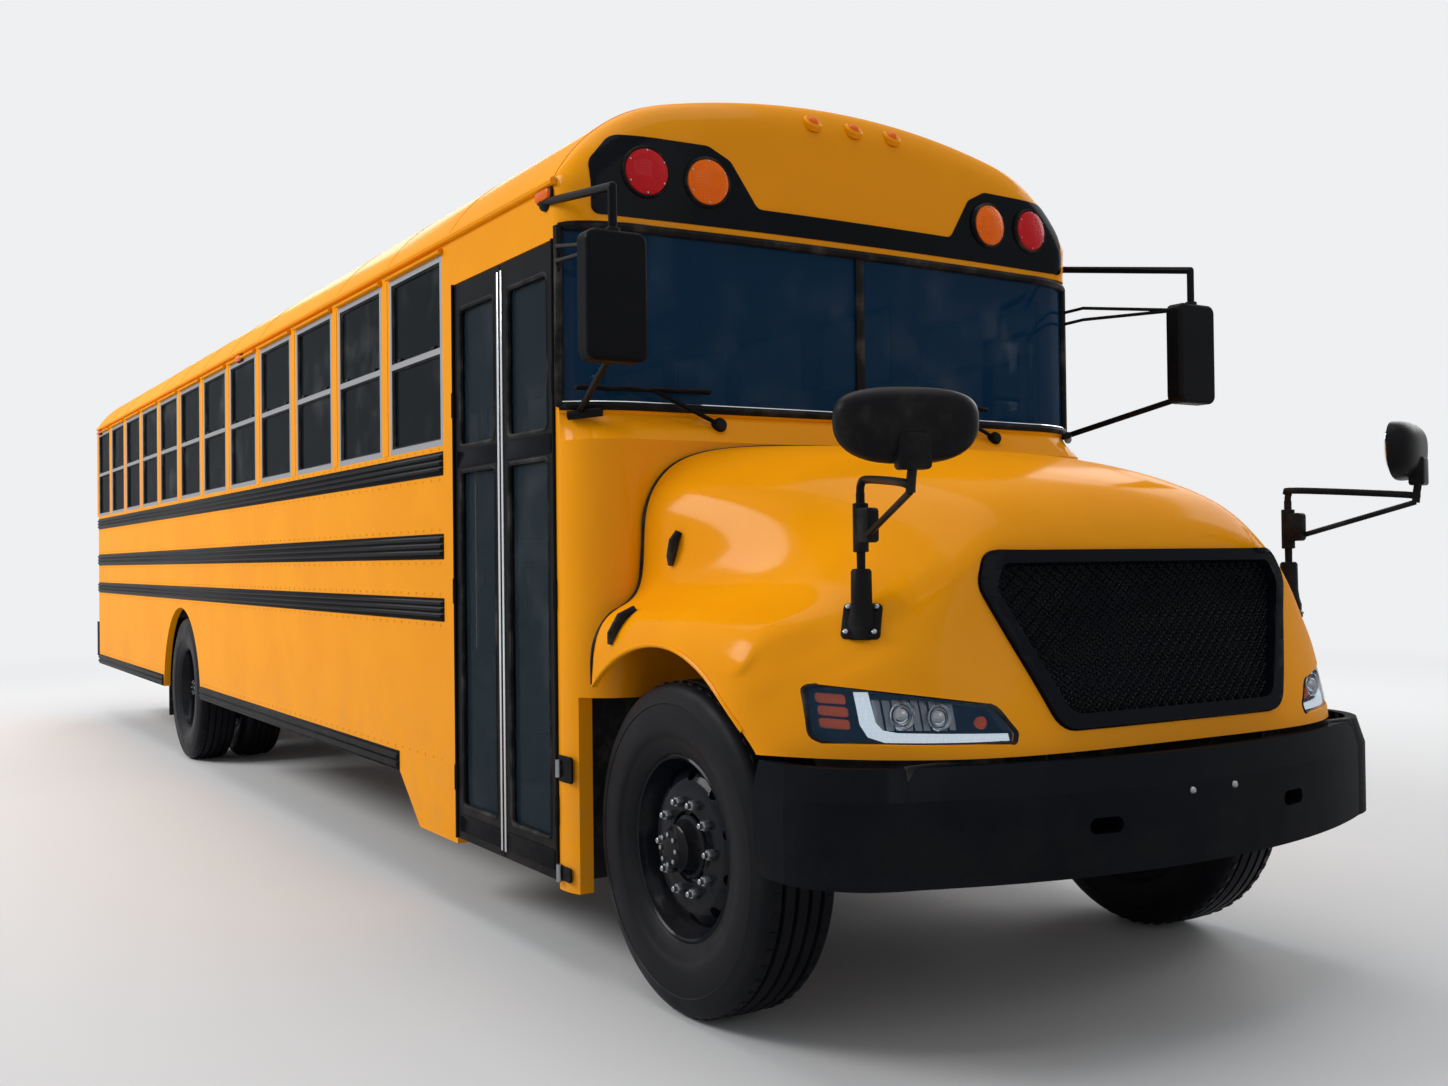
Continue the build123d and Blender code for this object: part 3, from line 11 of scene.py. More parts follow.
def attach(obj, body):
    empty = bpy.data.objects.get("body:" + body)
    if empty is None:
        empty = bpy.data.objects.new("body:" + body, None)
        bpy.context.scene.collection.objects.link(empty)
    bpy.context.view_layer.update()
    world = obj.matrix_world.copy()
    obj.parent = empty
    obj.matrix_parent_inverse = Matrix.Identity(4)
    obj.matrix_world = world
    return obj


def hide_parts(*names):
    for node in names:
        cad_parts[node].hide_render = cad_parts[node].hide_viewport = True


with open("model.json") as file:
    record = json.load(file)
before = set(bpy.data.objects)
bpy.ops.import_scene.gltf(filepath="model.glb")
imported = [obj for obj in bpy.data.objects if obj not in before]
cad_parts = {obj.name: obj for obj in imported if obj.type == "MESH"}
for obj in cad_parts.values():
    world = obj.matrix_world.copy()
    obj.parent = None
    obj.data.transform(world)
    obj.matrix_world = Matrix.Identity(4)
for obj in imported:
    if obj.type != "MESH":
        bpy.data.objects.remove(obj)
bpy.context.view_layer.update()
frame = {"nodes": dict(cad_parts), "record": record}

# Places taken from the source model, in metres
front_axle_x = 5.0245
rear_axle_x = -2.0875
front_wheel_y = 1.0
rear_wheel_ys = (1.045, 0.715)
tyre_radius = 0.52
door_front_x = 4.3595
door_rear_x = 3.3995
windows_front_x = 3.2745
window_pitch = 0.777
window_low_z = 1.90
window_high_z = 2.69
window_rail_z = 2.295
body_rear_x = -6.0495
rear_seam_x = -5.9405
side_y = 1.205
eave_z = 2.75
crown_z = 3.16
cowl_x = 4.5945
cowl_low_z = 1.76
screen_base_z = 1.935
screen_top_z = 2.59
hatch_places = (("front", 1.2), ("rear", -3.4))
hands = ((1, "left"), (-1, "right"))


# Shader helpers


class Signal:
    """A socket's value inside a shader: expressions on it add Math nodes."""

    def __init__(self, shader, socket):
        self.shader = shader
        self.socket = socket

    def math(self, operation, *values, clamp=False):
        node = self.shader.tree.nodes.new("ShaderNodeMath")
        node.operation = operation
        node.use_clamp = clamp
        for place, value in enumerate(values):
            self.shader.feed(node.inputs[place], value)
        return Signal(self.shader, node.outputs[0])

    def __add__(self, other):
        return self.math("ADD", self, other)

    def __radd__(self, other):
        return self.math("ADD", other, self)

    def __sub__(self, other):
        return self.math("SUBTRACT", self, other)

    def __rsub__(self, other):
        return self.math("SUBTRACT", other, self)

    def __mul__(self, other):
        return self.math("MULTIPLY", self, other)

    def __rmul__(self, other):
        return self.math("MULTIPLY", other, self)

    def clamp(self):
        return self.math("ADD", self, 0.0, clamp=True)

    def step(self, low, high):
        """0 below low, 1 above high and smooth between; low may be the larger."""
        node = self.shader.tree.nodes.new("ShaderNodeMapRange")
        node.interpolation_type = "SMOOTHSTEP"
        self.shader.feed(node.inputs["Value"], self)
        node.inputs["From Min"].default_value = min(low, high)
        node.inputs["From Max"].default_value = max(low, high)
        node.inputs["To Min"].default_value = 0.0 if low < high else 1.0
        node.inputs["To Max"].default_value = 1.0 if low < high else 0.0
        return Signal(self.shader, node.outputs["Result"])


class Shader:
    """A node tree whose sockets take numbers, colours or signals."""

    def __init__(self, tree):
        self.tree = tree

    def feed(self, socket, value):
        if isinstance(value, Signal):
            self.tree.links.new(value.socket, socket)
        elif isinstance(value, tuple) and len(value) == 3 and socket.type == "RGBA":
            socket.default_value = (*value, 1.0)
        else:
            socket.default_value = value

    def node(self, kind, inputs=None, output=0, **settings):
        """Adds a node: its settings come first, then the values or links of its sockets."""
        node = self.tree.nodes.new(kind)
        for label, value in settings.items():
            setattr(node, label, value)
        for label, value in (inputs or {}).items():
            self.feed(node.inputs[label], value)
        return Signal(self, node.outputs[output])


class Finish(Shader):
    """A node material with one Principled surface."""

    def __init__(self, name, **sockets):
        self.material = bpy.data.materials.new(name)
        self.material.use_nodes = True
        super().__init__(self.material.node_tree)
        self.surface = self.tree.nodes["Principled BSDF"]
        for label, value in sockets.items():
            self.set(label.replace("_", " ").title().replace("Ior", "IOR"), value)

    def set(self, label, value):
        self.feed(self.surface.inputs[label], value)

    def place(self, scale=(1, 1, 1)):
        """Object coordinates, scaled."""
        coords = self.node("ShaderNodeTexCoord", output="Object")
        return self.node("ShaderNodeMapping", {"Vector": coords, "Scale": scale})

    def axis(self, letter):
        return self.node("ShaderNodeSeparateXYZ", {0: self.place()}, output="XYZ".index(letter))

    def noise(self, scale, detail=4.0, roughness=0.55, stretch=(1, 1, 1)):
        inputs = {"Vector": self.place(stretch), "Scale": scale, "Detail": detail, "Roughness": roughness}
        return self.node("ShaderNodeTexNoise", inputs, output="Fac")

    def cells(self, scale, randomness=1.0, distance="EUCLIDEAN"):
        inputs = {"Vector": self.place(), "Scale": scale, "Randomness": randomness}
        return self.node("ShaderNodeTexVoronoi", inputs, output="Distance", distance=distance)

    def mix(self, factor, low, high):
        """Colour mix: low where the factor is 0, high where it is 1."""
        return self.node("ShaderNodeMix", {0: factor, 6: low, 7: high}, output=2, data_type="RGBA")

    def bump(self, height, distance, strength):
        inputs = {"Strength": strength, "Distance": distance, "Height": height}
        self.set("Normal", self.node("ShaderNodeBump", inputs))


def coated(name, colour, shade, roughness, coat, road_dust, shine=0.5):
    """Painted surface: slow colour drift, fine orange peel and dust that gathers low on the vehicle."""
    made = Finish(name, coat_roughness=0.13, specular_ior_level=shine)
    drift = made.noise(1.7, 3.0)
    low = made.axis("Z").step(1.1, 0.25)
    film = (made.noise(5.0, 6.0, 0.7).step(0.35, 0.75) * low * road_dust).clamp()
    colours = made.mix(drift.step(0.35, 0.7), shade, colour)
    made.set("Base Color", made.mix(film, colours, (0.30, 0.25, 0.19)))
    made.set("Roughness", roughness + film * 0.45 + made.noise(60.0, 2.0) * 0.05)
    made.set("Coat Weight", (coat - film * coat).clamp() if coat else 0.0)
    made.bump(made.noise(850.0, 2.0), 0.0002, 0.12)
    return made.material


def moulded(name, colour, roughness, grain_scale, depth, dust=0.25):
    """Moulded plastic or rubber: leathery grain and a trace of dust."""
    made = Finish(name, specular_ior_level=0.03)
    film = (made.noise(7.0, 5.0, 0.65).step(0.45, 0.8) * dust).clamp()
    made.set("Base Color", made.mix(film, colour, (0.26, 0.24, 0.21)))
    made.set("Roughness", roughness + film * 0.2 + made.noise(40.0, 3.0) * 0.08)
    made.bump(made.cells(grain_scale), depth, 0.5)
    return made.material


def metal(name, colour, roughness, stretch=(1, 1, 1), scale=90.0, metallic=1.0):
    """Bare metal with brushed or cast streaks."""
    made = Finish(name, metallic=metallic)
    streak = made.noise(scale, 5.0, 0.7, stretch)
    made.set("Base Color", made.mix(streak, tuple(0.8 * c for c in colour), colour))
    made.set("Roughness", roughness + streak * 0.15)
    made.bump(streak, 0.0005, 0.25)
    return made.material


def pane(name, colour, alpha):
    """Tinted glass with a faint film."""
    made = Finish(name, alpha=alpha, coat_weight=0.12, coat_roughness=0.02, specular_ior_level=0.0)
    film = made.noise(3.0, 5.0, 0.6).step(0.5, 0.85)
    made.set("Base Color", made.mix(film * 0.15, colour, (0.35, 0.36, 0.36)))
    made.set("Roughness", 0.03 + film * 0.05)
    made.bump(made.noise(1.5, 2.0), 0.002, 0.1)
    return made.material


def lens(name, colour, glow):
    """Coloured lens with moulded optic ribs."""
    made = Finish(name, coat_weight=0.16, coat_roughness=0.04, specular_ior_level=0.02)
    ribs = made.cells(95.0, 0.15, "CHEBYCHEV")
    made.set("Base Color", made.mix(ribs * 0.9, colour, tuple(0.35 * c for c in colour)))
    made.set("Roughness", 0.18 + ribs * 0.2)
    made.set("Emission Color", colour)
    made.set("Emission Strength", glow)
    made.bump(ribs, 0.003, 0.8)
    return made.material


def tyre_finish():
    """Worn tyre rubber with a grey film."""
    made = Finish("tyre_rubber", specular_ior_level=0.07)
    film = made.noise(9.0, 6.0, 0.7).step(0.3, 0.8)
    made.set("Base Color", made.mix(film * 0.12, (0.0055, 0.006, 0.0085), (0.045, 0.042, 0.038)))
    made.set("Roughness", 0.40 + film * 0.2)
    made.bump(made.noise(260.0, 5.0, 0.6), 0.0006, 0.4)
    return made.material


def vinyl_finish():
    """Creased and grained seat vinyl."""
    made = Finish("seat_vinyl")
    creases = made.noise(28.0, 6.0, 0.6)
    made.set("Base Color", made.mix(creases, (0.022, 0.032, 0.052), (0.034, 0.046, 0.070)))
    made.set("Roughness", 0.42 + creases * 0.15)
    made.bump(made.cells(520.0) * 0.4 + creases, 0.0012, 0.5)
    return made.material


# Paints: name, colour, its shade, roughness, coat, dust and shine
paint = coated("bus_yellow_paint", (0.87, 0.325, 0.0035), (0.83, 0.30, 0.003), 0.30, 0.17, 0.16, 0.0)
black_gloss = coated("black_gloss_paint", (0.0045, 0.0055, 0.0085), (0.003, 0.004, 0.006), 0.26, 0.1, 0.03, 0)
black_satin = coated(
    "black_satin_paint", (0.008, 0.0085, 0.010), (0.005, 0.0055, 0.007), 0.36, 0.06, 0.06, 0.01
)
chassis_black = coated("chassis_black_paint", (0.016, 0.016, 0.017), (0.010, 0.010, 0.010), 0.6, 0.0, 0.35)
wheel_paint = coated("wheel_black_paint", (0.007, 0.009, 0.014), (0.004, 0.005, 0.008), 0.24, 0.20, 0.05, 0.0)
sign_white = coated("sign_white", (0.70, 0.70, 0.69), (0.64, 0.64, 0.63), 0.4, 0.2, 0.1)
sign_red = coated("stop_arm_red", (0.55, 0.012, 0.015), (0.48, 0.010, 0.012), 0.35, 0.5, 0.1)

cast_grey = metal("cast_iron_grey", (0.20, 0.20, 0.21), 0.55, scale=40.0, metallic=0.6)
pipe_steel = metal("exhaust_steel", (0.34, 0.30, 0.27), 0.45, (0.2, 1, 1))
bright = metal("bright_aluminium", (0.34, 0.35, 0.37), 0.30, (0.15, 1, 1), 220.0)
chrome = metal("polished_steel", (0.72, 0.73, 0.75), 0.10, scale=30.0)
nut_steel = metal("lug_nut_steel", (0.30, 0.31, 0.33), 0.35, scale=60.0)
mirror_glass = metal("mirror_glass", (0.80, 0.81, 0.82), 0.03, scale=4.0)

seal = moulded("rubber_seal", (0.012, 0.012, 0.013), 0.45, 900.0, 0.0002)
rubber = moulded("flap_rubber", (0.02, 0.02, 0.02), 0.65, 300.0, 0.0006, 0.6)
plastic = moulded("cabin_plastic", (0.035, 0.036, 0.040), 0.55, 500.0, 0.0004)
mirror_shell = moulded("mirror_shell_plastic", (0.010, 0.010, 0.011), 0.30, 700.0, 0.0002, 0.08)
deck = moulded("floor_covering", (0.035, 0.037, 0.040), 0.6, 160.0, 0.0008, 0.4)
tyre_rubber = tyre_finish()
vinyl = vinyl_finish()

window_tint = pane("tinted_window_glass", (0.005, 0.008, 0.011), 0.84)
screen_glass = pane("windscreen_glass", (0.002, 0.030, 0.080), 0.72)
door_glass = pane("door_glass", (0.020, 0.034, 0.046), 0.45)
clear_lens = pane("clear_lamp_lens", (0.03, 0.07, 0.13), 0.26)
white_lens = lens("white_light_strip", (0.75, 0.86, 0.95), 0.95)
reverse_lens = lens("reverse_lens", (0.55, 0.56, 0.58), 0.05)
red_lens = lens("red_lens", (0.46, 0.008, 0.012), 0.20)
amber_lens = lens("amber_lens", (0.70, 0.115, 0.002), 0.25)

finishes = {
    "body_paint": paint,
    "black_paint": black_satin,
    "chassis_black": chassis_black,
    "engine_grey": cast_grey,
    "exhaust_steel": pipe_steel,
    "wheel_paint": wheel_paint,
    "tyre": tyre_rubber,
    "glazing": window_tint,
    "frame_aluminium": bright,
    "lamp_lens": red_lens,
    "headlamp_lens": screen_glass,
    "seat_vinyl": vinyl,
    "interior_plastic": plastic,
    "floor_rubber": deck,
    "rubber": rubber,
    "sign_red": sign_red,
    "rail_steel": chrome,
    "grille_dark": black_satin,
}
own_finish = {
    "windshield": screen_glass,
    "front_bumper": black_gloss,
    "rear_bumper": black_gloss,
    "service_glass_rear": door_glass,
    "service_glass_front": door_glass,
}


# Mesh helpers


def dressed(piece, finish):
    """Gives a bare object its one finish."""
    piece.data.materials.clear()
    piece.data.materials.append(finish)
    return piece


slot_of = {part["node"]: part["material_slot"] for part in frame["record"]["subparts"]}
for node_name, node_object in frame["nodes"].items():
    dressed(node_object, own_finish.get(node_name, finishes[slot_of[node_name]]))


def form(mesh):
    """A bare object: a tool for another piece, or a part that joined() takes up."""
    made = bpy.data.objects.new(mesh.name, mesh)
    bpy.context.scene.collection.objects.link(made)
    return made


def loose(points, faces, finish=None):
    """A bare object from points, in metres in the row frame, and faces."""
    mesh = bpy.data.meshes.new("form")
    mesh.from_pydata([tuple(p) for p in points], [], faces)
    mesh.validate()
    return dressed(form(mesh), finish) if finish else form(mesh)


def quads(rows, closed=False):
    """Faces between neighbouring rows of point numbers; closed joins each row's end to its start."""
    faces = []
    for low, high in zip(rows, rows[1:]):
        for k in range(len(low) if closed else len(low) - 1):
            ahead = (k + 1) % len(low)
            faces.append((low[k], low[ahead], high[ahead], high[k]))
    return faces


def numbered(rows, start=0):
    """The point numbers of rows that are written one after the other."""
    width = len(rows[0])
    return [list(range(start + width * r, start + width * (r + 1))) for r in range(len(rows))]


def sheet(rows, finish, closed=False):
    """A skin over rows of points."""
    return loose([p for row in rows for p in row], quads(numbered(rows), closed), finish)


def add_modifier(piece, kind, **settings):
    """Adds a modifier with these settings to a piece."""
    modifier = piece.modifiers.new(kind.lower(), kind)
    for label, value in settings.items():
        setattr(modifier, label, value)
    return modifier


def settle(piece):
    """Turns a piece with modifiers into a plain mesh."""
    bpy.context.view_layer.update()
    graph = bpy.context.evaluated_depsgraph_get()
    mesh = bpy.data.meshes.new_from_object(piece.evaluated_get(graph))
    piece.modifiers.clear()
    piece.data = mesh


def drop(*objects):
    """Takes tools and used parts away."""
    for made in objects:
        bpy.data.objects.remove(made, do_unlink=True)


def moved(piece, place):
    """Lays a bare object's points anew: place gives each point's new position."""
    for v in piece.data.vertices:
        v.co = place(*v.co)
    return piece


def facing_out(piece, weld=1e-6):
    """Welds a piece's seams and turns its faces outwards."""
    made = bmesh.new()
    made.from_mesh(piece.data)
    bmesh.ops.remove_doubles(made, verts=made.verts, dist=weld)
    bmesh.ops.recalc_face_normals(made, faces=made.faces)
    made.to_mesh(piece.data)
    made.free()
    return piece


def facing_ahead(mesh):
    """Turns a sheet's faces to the front of the bus."""
    if sum(face.normal.x * face.area for face in mesh.polygons) < 0:
        mesh.flip_normals()


def across_axis(axis, a, b, height):
    """The point at a height along an axis and at a, b across it."""
    return {"X": (height, a, b), "Y": (a, height, b), "Z": (a, b, height)}[axis]


def prism(outline, low, high, axis="X"):
    """A closed prism whose outline lies across the axis."""
    count = len(outline)
    points = [across_axis(axis, a, b, height) for height in (low, high) for a, b in outline]
    faces = [tuple(range(count)), tuple(range(2 * count - 1, count - 1, -1))]
    faces += [(k, k + count, (k + 1) % count + count, (k + 1) % count) for k in range(count)]
    return facing_out(loose(points, faces))


def rounded(corners, radius, steps=5):
    """A closed outline with its corners rounded; radius is one number or one for each corner."""
    made = []
    count = len(corners)
    for k, corner in enumerate(corners):
        r = radius[k] if isinstance(radius, list) else radius
        here = Vector(corner)
        back = (Vector(corners[k - 1]) - here).normalized()
        ahead = (Vector(corners[(k + 1) % count]) - here).normalized()
        half = math.acos(max(-1, min(1, back.dot(ahead)))) / 2
        reach = r / math.tan(half)
        start, end = here + back * reach, here + ahead * reach
        centre = here + (back + ahead).normalized() * (r / math.sin(half))
        a0 = math.atan2(*(start - centre).yx)
        a1 = math.atan2(*(end - centre).yx)
        turn = (a1 - a0 + math.pi) % (2 * math.pi) - math.pi
        for step in range(steps + 1):
            a = a0 + turn * step / steps
            made.append((centre.x + r * math.cos(a), centre.y + r * math.sin(a)))
    return made


def box(low_a, high_a, low_b, high_b):
    """The four corners of a rectangle."""
    return [(low_a, low_b), (high_a, low_b), (high_a, high_b), (low_a, high_b)]


def oblong(centre_a, centre_b, half_a, half_b, radius, steps=4):
    """A rectangle round a centre with rounded corners."""
    corners = box(centre_a - half_a, centre_a + half_a, centre_b - half_b, centre_b + half_b)
    return rounded(corners, radius, steps)


def flowing(points, steps):
    """Catmull-Rom points through the given ones."""
    made = []
    for k in range(len(points) - 1):
        p0, p1, p2 = points[max(k - 1, 0)], points[k], points[k + 1]
        p3 = points[min(k + 2, len(points) - 1)]
        square, cube = 2 * p0 - 5 * p1 + 4 * p2 - p3, 3 * p1 - p0 - 3 * p2 + p3
        for step in range(steps):
            t = step / steps
            made.append(0.5 * ((2 * p1) + (p2 - p0) * t + square * t**2 + cube * t**3))
    made.append(points[-1])
    return made


def sideways(ahead):
    """A direction square to the given one."""
    return ahead.cross(Vector((0, 0, 1)) if abs(ahead.z) < 0.9 else Vector((1, 0, 0))).normalized()


def tube(path, radius, finish, closed=False, sides=10, smooth_path=False):
    """A round bar along a path; radius is one number or one for each point."""
    points = [Vector(p) for p in path]
    if smooth_path:
        points = flowing(points, 6)
    count = len(points)
    radii = radius if isinstance(radius, list) else [radius] * count
    made = []
    side = None
    for k, point in enumerate(points):
        before = points[k - 1] if k or closed else point
        after = points[(k + 1) % count] if k < count - 1 or closed else point
        ahead = (after - before).normalized()
        side = sideways(ahead) if side is None else side
        side = (side - ahead * side.dot(ahead)).normalized()
        up = ahead.cross(side)
        for s in range(sides):
            a = 2 * math.pi * s / sides
            made.append(point + (side * math.cos(a) + up * math.sin(a)) * radii[k])
    rows = [list(range(sides * k, sides * (k + 1))) for k in range(count)]
    faces = quads(rows + rows[:1] if closed else rows, closed=True)
    if not closed:
        faces += [tuple(rows[0][::-1]), tuple(rows[-1])]
    return loose(made, faces, finish)


def hoop(outline, height, axis, radius, finish, sides):
    """A round bar along an outline that lies across an axis."""
    path = [across_axis(axis, a, b, height) for a, b in outline]
    return tube(path, radius, finish, closed=True, sides=sides)


def turned(profile, centre, axis, finish=None, steps=48, ring=False):
    """A turned form: profile is (distance along the axis, radius); a ring's profile closes on itself."""
    ahead = Vector(axis).normalized()
    side = sideways(ahead)
    up = ahead.cross(side)
    points, faces, rows = [], [], []
    for along, radius in profile:
        middle = Vector(centre) + ahead * along
        count = 1 if radius < 1e-6 else steps
        rows.append(list(range(len(points), len(points) + count)))
        for s in range(count):
            a = 2 * math.pi * s / steps
            points.append(middle + (side * math.cos(a) + up * math.sin(a)) * radius)
    for low, high in zip(rows, rows[1:] + rows[:1] if ring else rows[1:]):
        for s in range(steps):
            t = (s + 1) % steps
            quad = [low[s % len(low)], low[t % len(low)], high[t % len(high)], high[s % len(high)]]
            face = tuple(dict.fromkeys(quad))
            if len(face) > 2:
                faces.append(face)
    return loose(points, faces, finish)


def slab(corners, low, high, finish, axis="X", bevel=0.002):
    """A flat piece between two heights with an outline across the axis, its edges softened."""
    made = prism(corners, min(low, high), max(low, high), axis)
    if bevel:
        sharpest = math.radians(50)
        add_modifier(made, "BEVEL", width=bevel, segments=2, limit_method="ANGLE", angle_limit=sharpest)
        settle(made)
    return dressed(made, finish)


def merged(name, parts):
    """Several bare objects as one that keeps their finishes."""
    whole = bmesh.new()
    mesh = bpy.data.meshes.new(name)
    for part in parts:
        here = part.data.materials[0]
        if here.name not in mesh.materials:
            mesh.materials.append(here)
        start = len(whole.faces)
        whole.from_mesh(part.data)
        whole.faces.ensure_lookup_table()
        for face in whole.faces[start:]:
            face.material_index = mesh.materials.find(here.name)
    whole.to_mesh(mesh)
    whole.free()
    drop(*parts)
    return form(mesh)


def joined(name, parts, body="body", replaces=()):
    """The parts as one named piece that rides on a body."""
    piece = merged(name, parts)
    piece.data.shade_smooth()
    piece.data.set_sharp_from_angle(angle=math.radians(38))
    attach(piece, body)
    if replaces:
        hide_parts(*replaces)
    return piece


def carve(piece, *tools):
    """Cuts the tools' forms out of a piece."""
    for tool in tools:
        add_modifier(piece, "BOOLEAN", operation="DIFFERENCE", solver="MANIFOLD", object=tool)
    settle(piece)
    drop(*tools)


def repeated(unit, places, finish, turns=None):
    """Copies of a unit by Geometry Nodes, one on each point, turned by an attribute and realised."""
    points = bpy.data.meshes.new("points")
    points.from_pydata([tuple(p) for p in places], [], [])
    attribute = points.attributes.new("turn", "FLOAT_VECTOR", "POINT")
    attribute.data.foreach_set("vector", [c for turn in (turns or [(0, 0, 0)] * len(places)) for c in turn])
    holder = form(points)
    group = bpy.data.node_groups.new("repeat_nodes", "GeometryNodeTree")
    group.interface.new_socket("Points", in_out="INPUT", socket_type="NodeSocketGeometry")
    unit_socket = group.interface.new_socket("Unit", in_out="INPUT", socket_type="NodeSocketObject")
    finish_socket = group.interface.new_socket("Finish", in_out="INPUT", socket_type="NodeSocketMaterial")
    group.interface.new_socket("Made", in_out="OUTPUT", socket_type="NodeSocketGeometry")
    nodes = group.nodes
    given = nodes.new("NodeGroupInput")
    shape = nodes.new("GeometryNodeObjectInfo")
    turn = nodes.new("GeometryNodeInputNamedAttribute")
    turn.data_type = "FLOAT_VECTOR"
    turn.inputs["Name"].default_value = "turn"
    rotation = nodes.new("FunctionNodeEulerToRotation")
    placed = nodes.new("GeometryNodeInstanceOnPoints")
    realised = nodes.new("GeometryNodeRealizeInstances")
    coloured = nodes.new("GeometryNodeSetMaterial")
    result = nodes.new("NodeGroupOutput")
    for source, output, target, entry in (
        (given, "Unit", shape, "Object"),
        (turn, "Attribute", rotation, 0),
        (given, "Points", placed, "Points"),
        (shape, "Geometry", placed, "Instance"),
        (rotation, 0, placed, "Rotation"),
        (placed, "Instances", realised, "Geometry"),
        (realised, "Geometry", coloured, "Geometry"),
        (given, "Finish", coloured, "Material"),
        (coloured, "Geometry", result, "Made"),
    ):
        group.links.new(source.outputs[output], target.inputs[entry])
    modifier = holder.modifiers.new("repeat", "NODES")
    modifier.node_group = group
    modifier[unit_socket.identifier] = unit
    modifier[finish_socket.identifier] = finish
    settle(holder)
    drop(unit)
    return dressed(holder, finish)


# Hood: a moulded form through measured points
# Stations are (x, section as (y, z)) and nose rows are (x, y, z)

hood_rear_x = cowl_x + 0.012
hood_low_z = 0.872
hood_seam_x = 5.48
arch_radius = 0.634
hood_stations = [
    (
        hood_rear_x,
        [
            (0, 1.832), (0.30, 1.828), (0.58, 1.815), (0.78, 1.785), (0.91, 1.72), (0.985, 1.60),
            (1.00, 1.45), (1.015, 1.335), (1.06, 1.275), (1.13, 1.235), (1.178, 1.17), (1.195, 1.10),
        ],
    ),
    (
        4.85,
        [
            (0, 1.816), (0.30, 1.811), (0.56, 1.797), (0.745, 1.765), (0.875, 1.70), (0.95, 1.58),
            (0.975, 1.45), (0.998, 1.345), (1.05, 1.285), (1.12, 1.25), (1.172, 1.19), (1.195, 1.12),
        ],
    ),
    (
        5.10,
        [
            (0, 1.79), (0.29, 1.785), (0.53, 1.77), (0.70, 1.735), (0.82, 1.67), (0.90, 1.56), (0.94, 1.45),
            (0.98, 1.352), (1.042, 1.29), (1.115, 1.252), (1.17, 1.195), (1.195, 1.12),
        ],
    ),
    (
        5.30,
        [
            (0, 1.755), (0.28, 1.75), (0.50, 1.735), (0.66, 1.70), (0.775, 1.635), (0.855, 1.53),
            (0.91, 1.43), (0.962, 1.345), (1.03, 1.29), (1.105, 1.25), (1.165, 1.19), (1.192, 1.12),
        ],
    ),
    (
        hood_seam_x,
        [
            (0, 1.715), (0.27, 1.71), (0.47, 1.695), (0.62, 1.66), (0.73, 1.595), (0.81, 1.50), (0.88, 1.41),
            (0.945, 1.335), (1.02, 1.28), (1.095, 1.24), (1.155, 1.18), (1.186, 1.11),
        ],
    ),
]
nose_rows = [
    [
        (5.66, 0, 1.662), (5.66, 0.26, 1.657), (5.655, 0.45, 1.642), (5.65, 0.59, 1.607), (5.64, 0.70, 1.545),
        (5.63, 0.78, 1.46), (5.62, 0.85, 1.385), (5.612, 0.92, 1.318), (5.603, 0.995, 1.27),
        (5.585, 1.07, 1.222), (5.545, 1.135, 1.16),
    ],
    [
        (5.79, 0, 1.60), (5.79, 0.26, 1.595), (5.785, 0.44, 1.58), (5.78, 0.57, 1.545), (5.77, 0.67, 1.485),
        (5.76, 0.745, 1.415), (5.745, 0.815, 1.35), (5.722, 0.885, 1.285), (5.69, 0.96, 1.235),
        (5.645, 1.04, 1.175), (5.58, 1.125, 1.112),
    ],
    [
        (5.873, 0, 1.515), (5.873, 0.26, 1.51), (5.867, 0.44, 1.495), (5.862, 0.565, 1.465),
        (5.852, 0.665, 1.41), (5.838, 0.74, 1.345), (5.815, 0.81, 1.288), (5.782, 0.88, 1.23),
        (5.738, 0.955, 1.182), (5.68, 1.035, 1.13), (5.598, 1.122, 1.076),
    ],
    [
        (5.905, 0, 1.43), (5.904, 0.26, 1.43), (5.90, 0.44, 1.42), (5.894, 0.57, 1.392), (5.885, 0.67, 1.34),
        (5.869, 0.745, 1.28), (5.843, 0.815, 1.225), (5.808, 0.885, 1.177), (5.76, 0.96, 1.133),
        (5.697, 1.038, 1.092), (5.606, 1.12, 1.046),
    ],
]
# Lower nose rows: centre x, and heights at the centre and at the corner
nose_belts = [
    (5.95, 1.27, 0.965), (5.99, 1.10, 0.935), (6.022, 0.965, 0.905), (6.038, hood_low_z, hood_low_z),
]
belt_y = [0, 0.26, 0.44, 0.58, 0.68, 0.755, 0.825, 0.89, 0.965, 1.04, 1.12]
corner = (hood_seam_x, 1.192)


def belt(centre_x, centre_z, corner_z, spread):
    """One lower nose row: a plan curve from the centre round to the corner."""
    row = []
    for y in belt_y:
        share = y / corner[1]
        x = corner[0] + (centre_x - corner[0]) * (1 - share**4.2) ** 0.86
        z = corner_z + (centre_z - corner_z) * (1 - share**spread) ** 0.9
        row.append((x, y, z))
    return row


for rank, (centre_x, centre_z, corner_z) in enumerate(nose_belts):
    nose_rows.append(belt(centre_x, centre_z, corner_z, 2.4 + 0.3 * rank))


def cage_limit(cage):
    """Where a Catmull-Clark surface passes for each point of a cage, and that point's own weight."""
    places = {}
    for v in cage.verts:
        rim = [e for e in v.link_edges if e.is_boundary]
        if rim:
            ends = [e.other_vert(v).co for e in rim]
            places[v.index] = (v.co * 4 + ends[0] + ends[1]) / 6 if len(v.link_faces) > 1 else v.co.copy()
            continue
        n = len(v.link_edges)
        edges = sum((e.other_vert(v).co for e in v.link_edges), Vector())
        around = set()
        for f in v.link_faces:
            around |= {w for w in f.verts if w is not v}
        across = around - {e.other_vert(v) for e in v.link_edges}
        far = sum((w.co for w in across), Vector())
        places[v.index] = (v.co * n * n + edges * 4 + far) / (n * (n + 5))
    return places


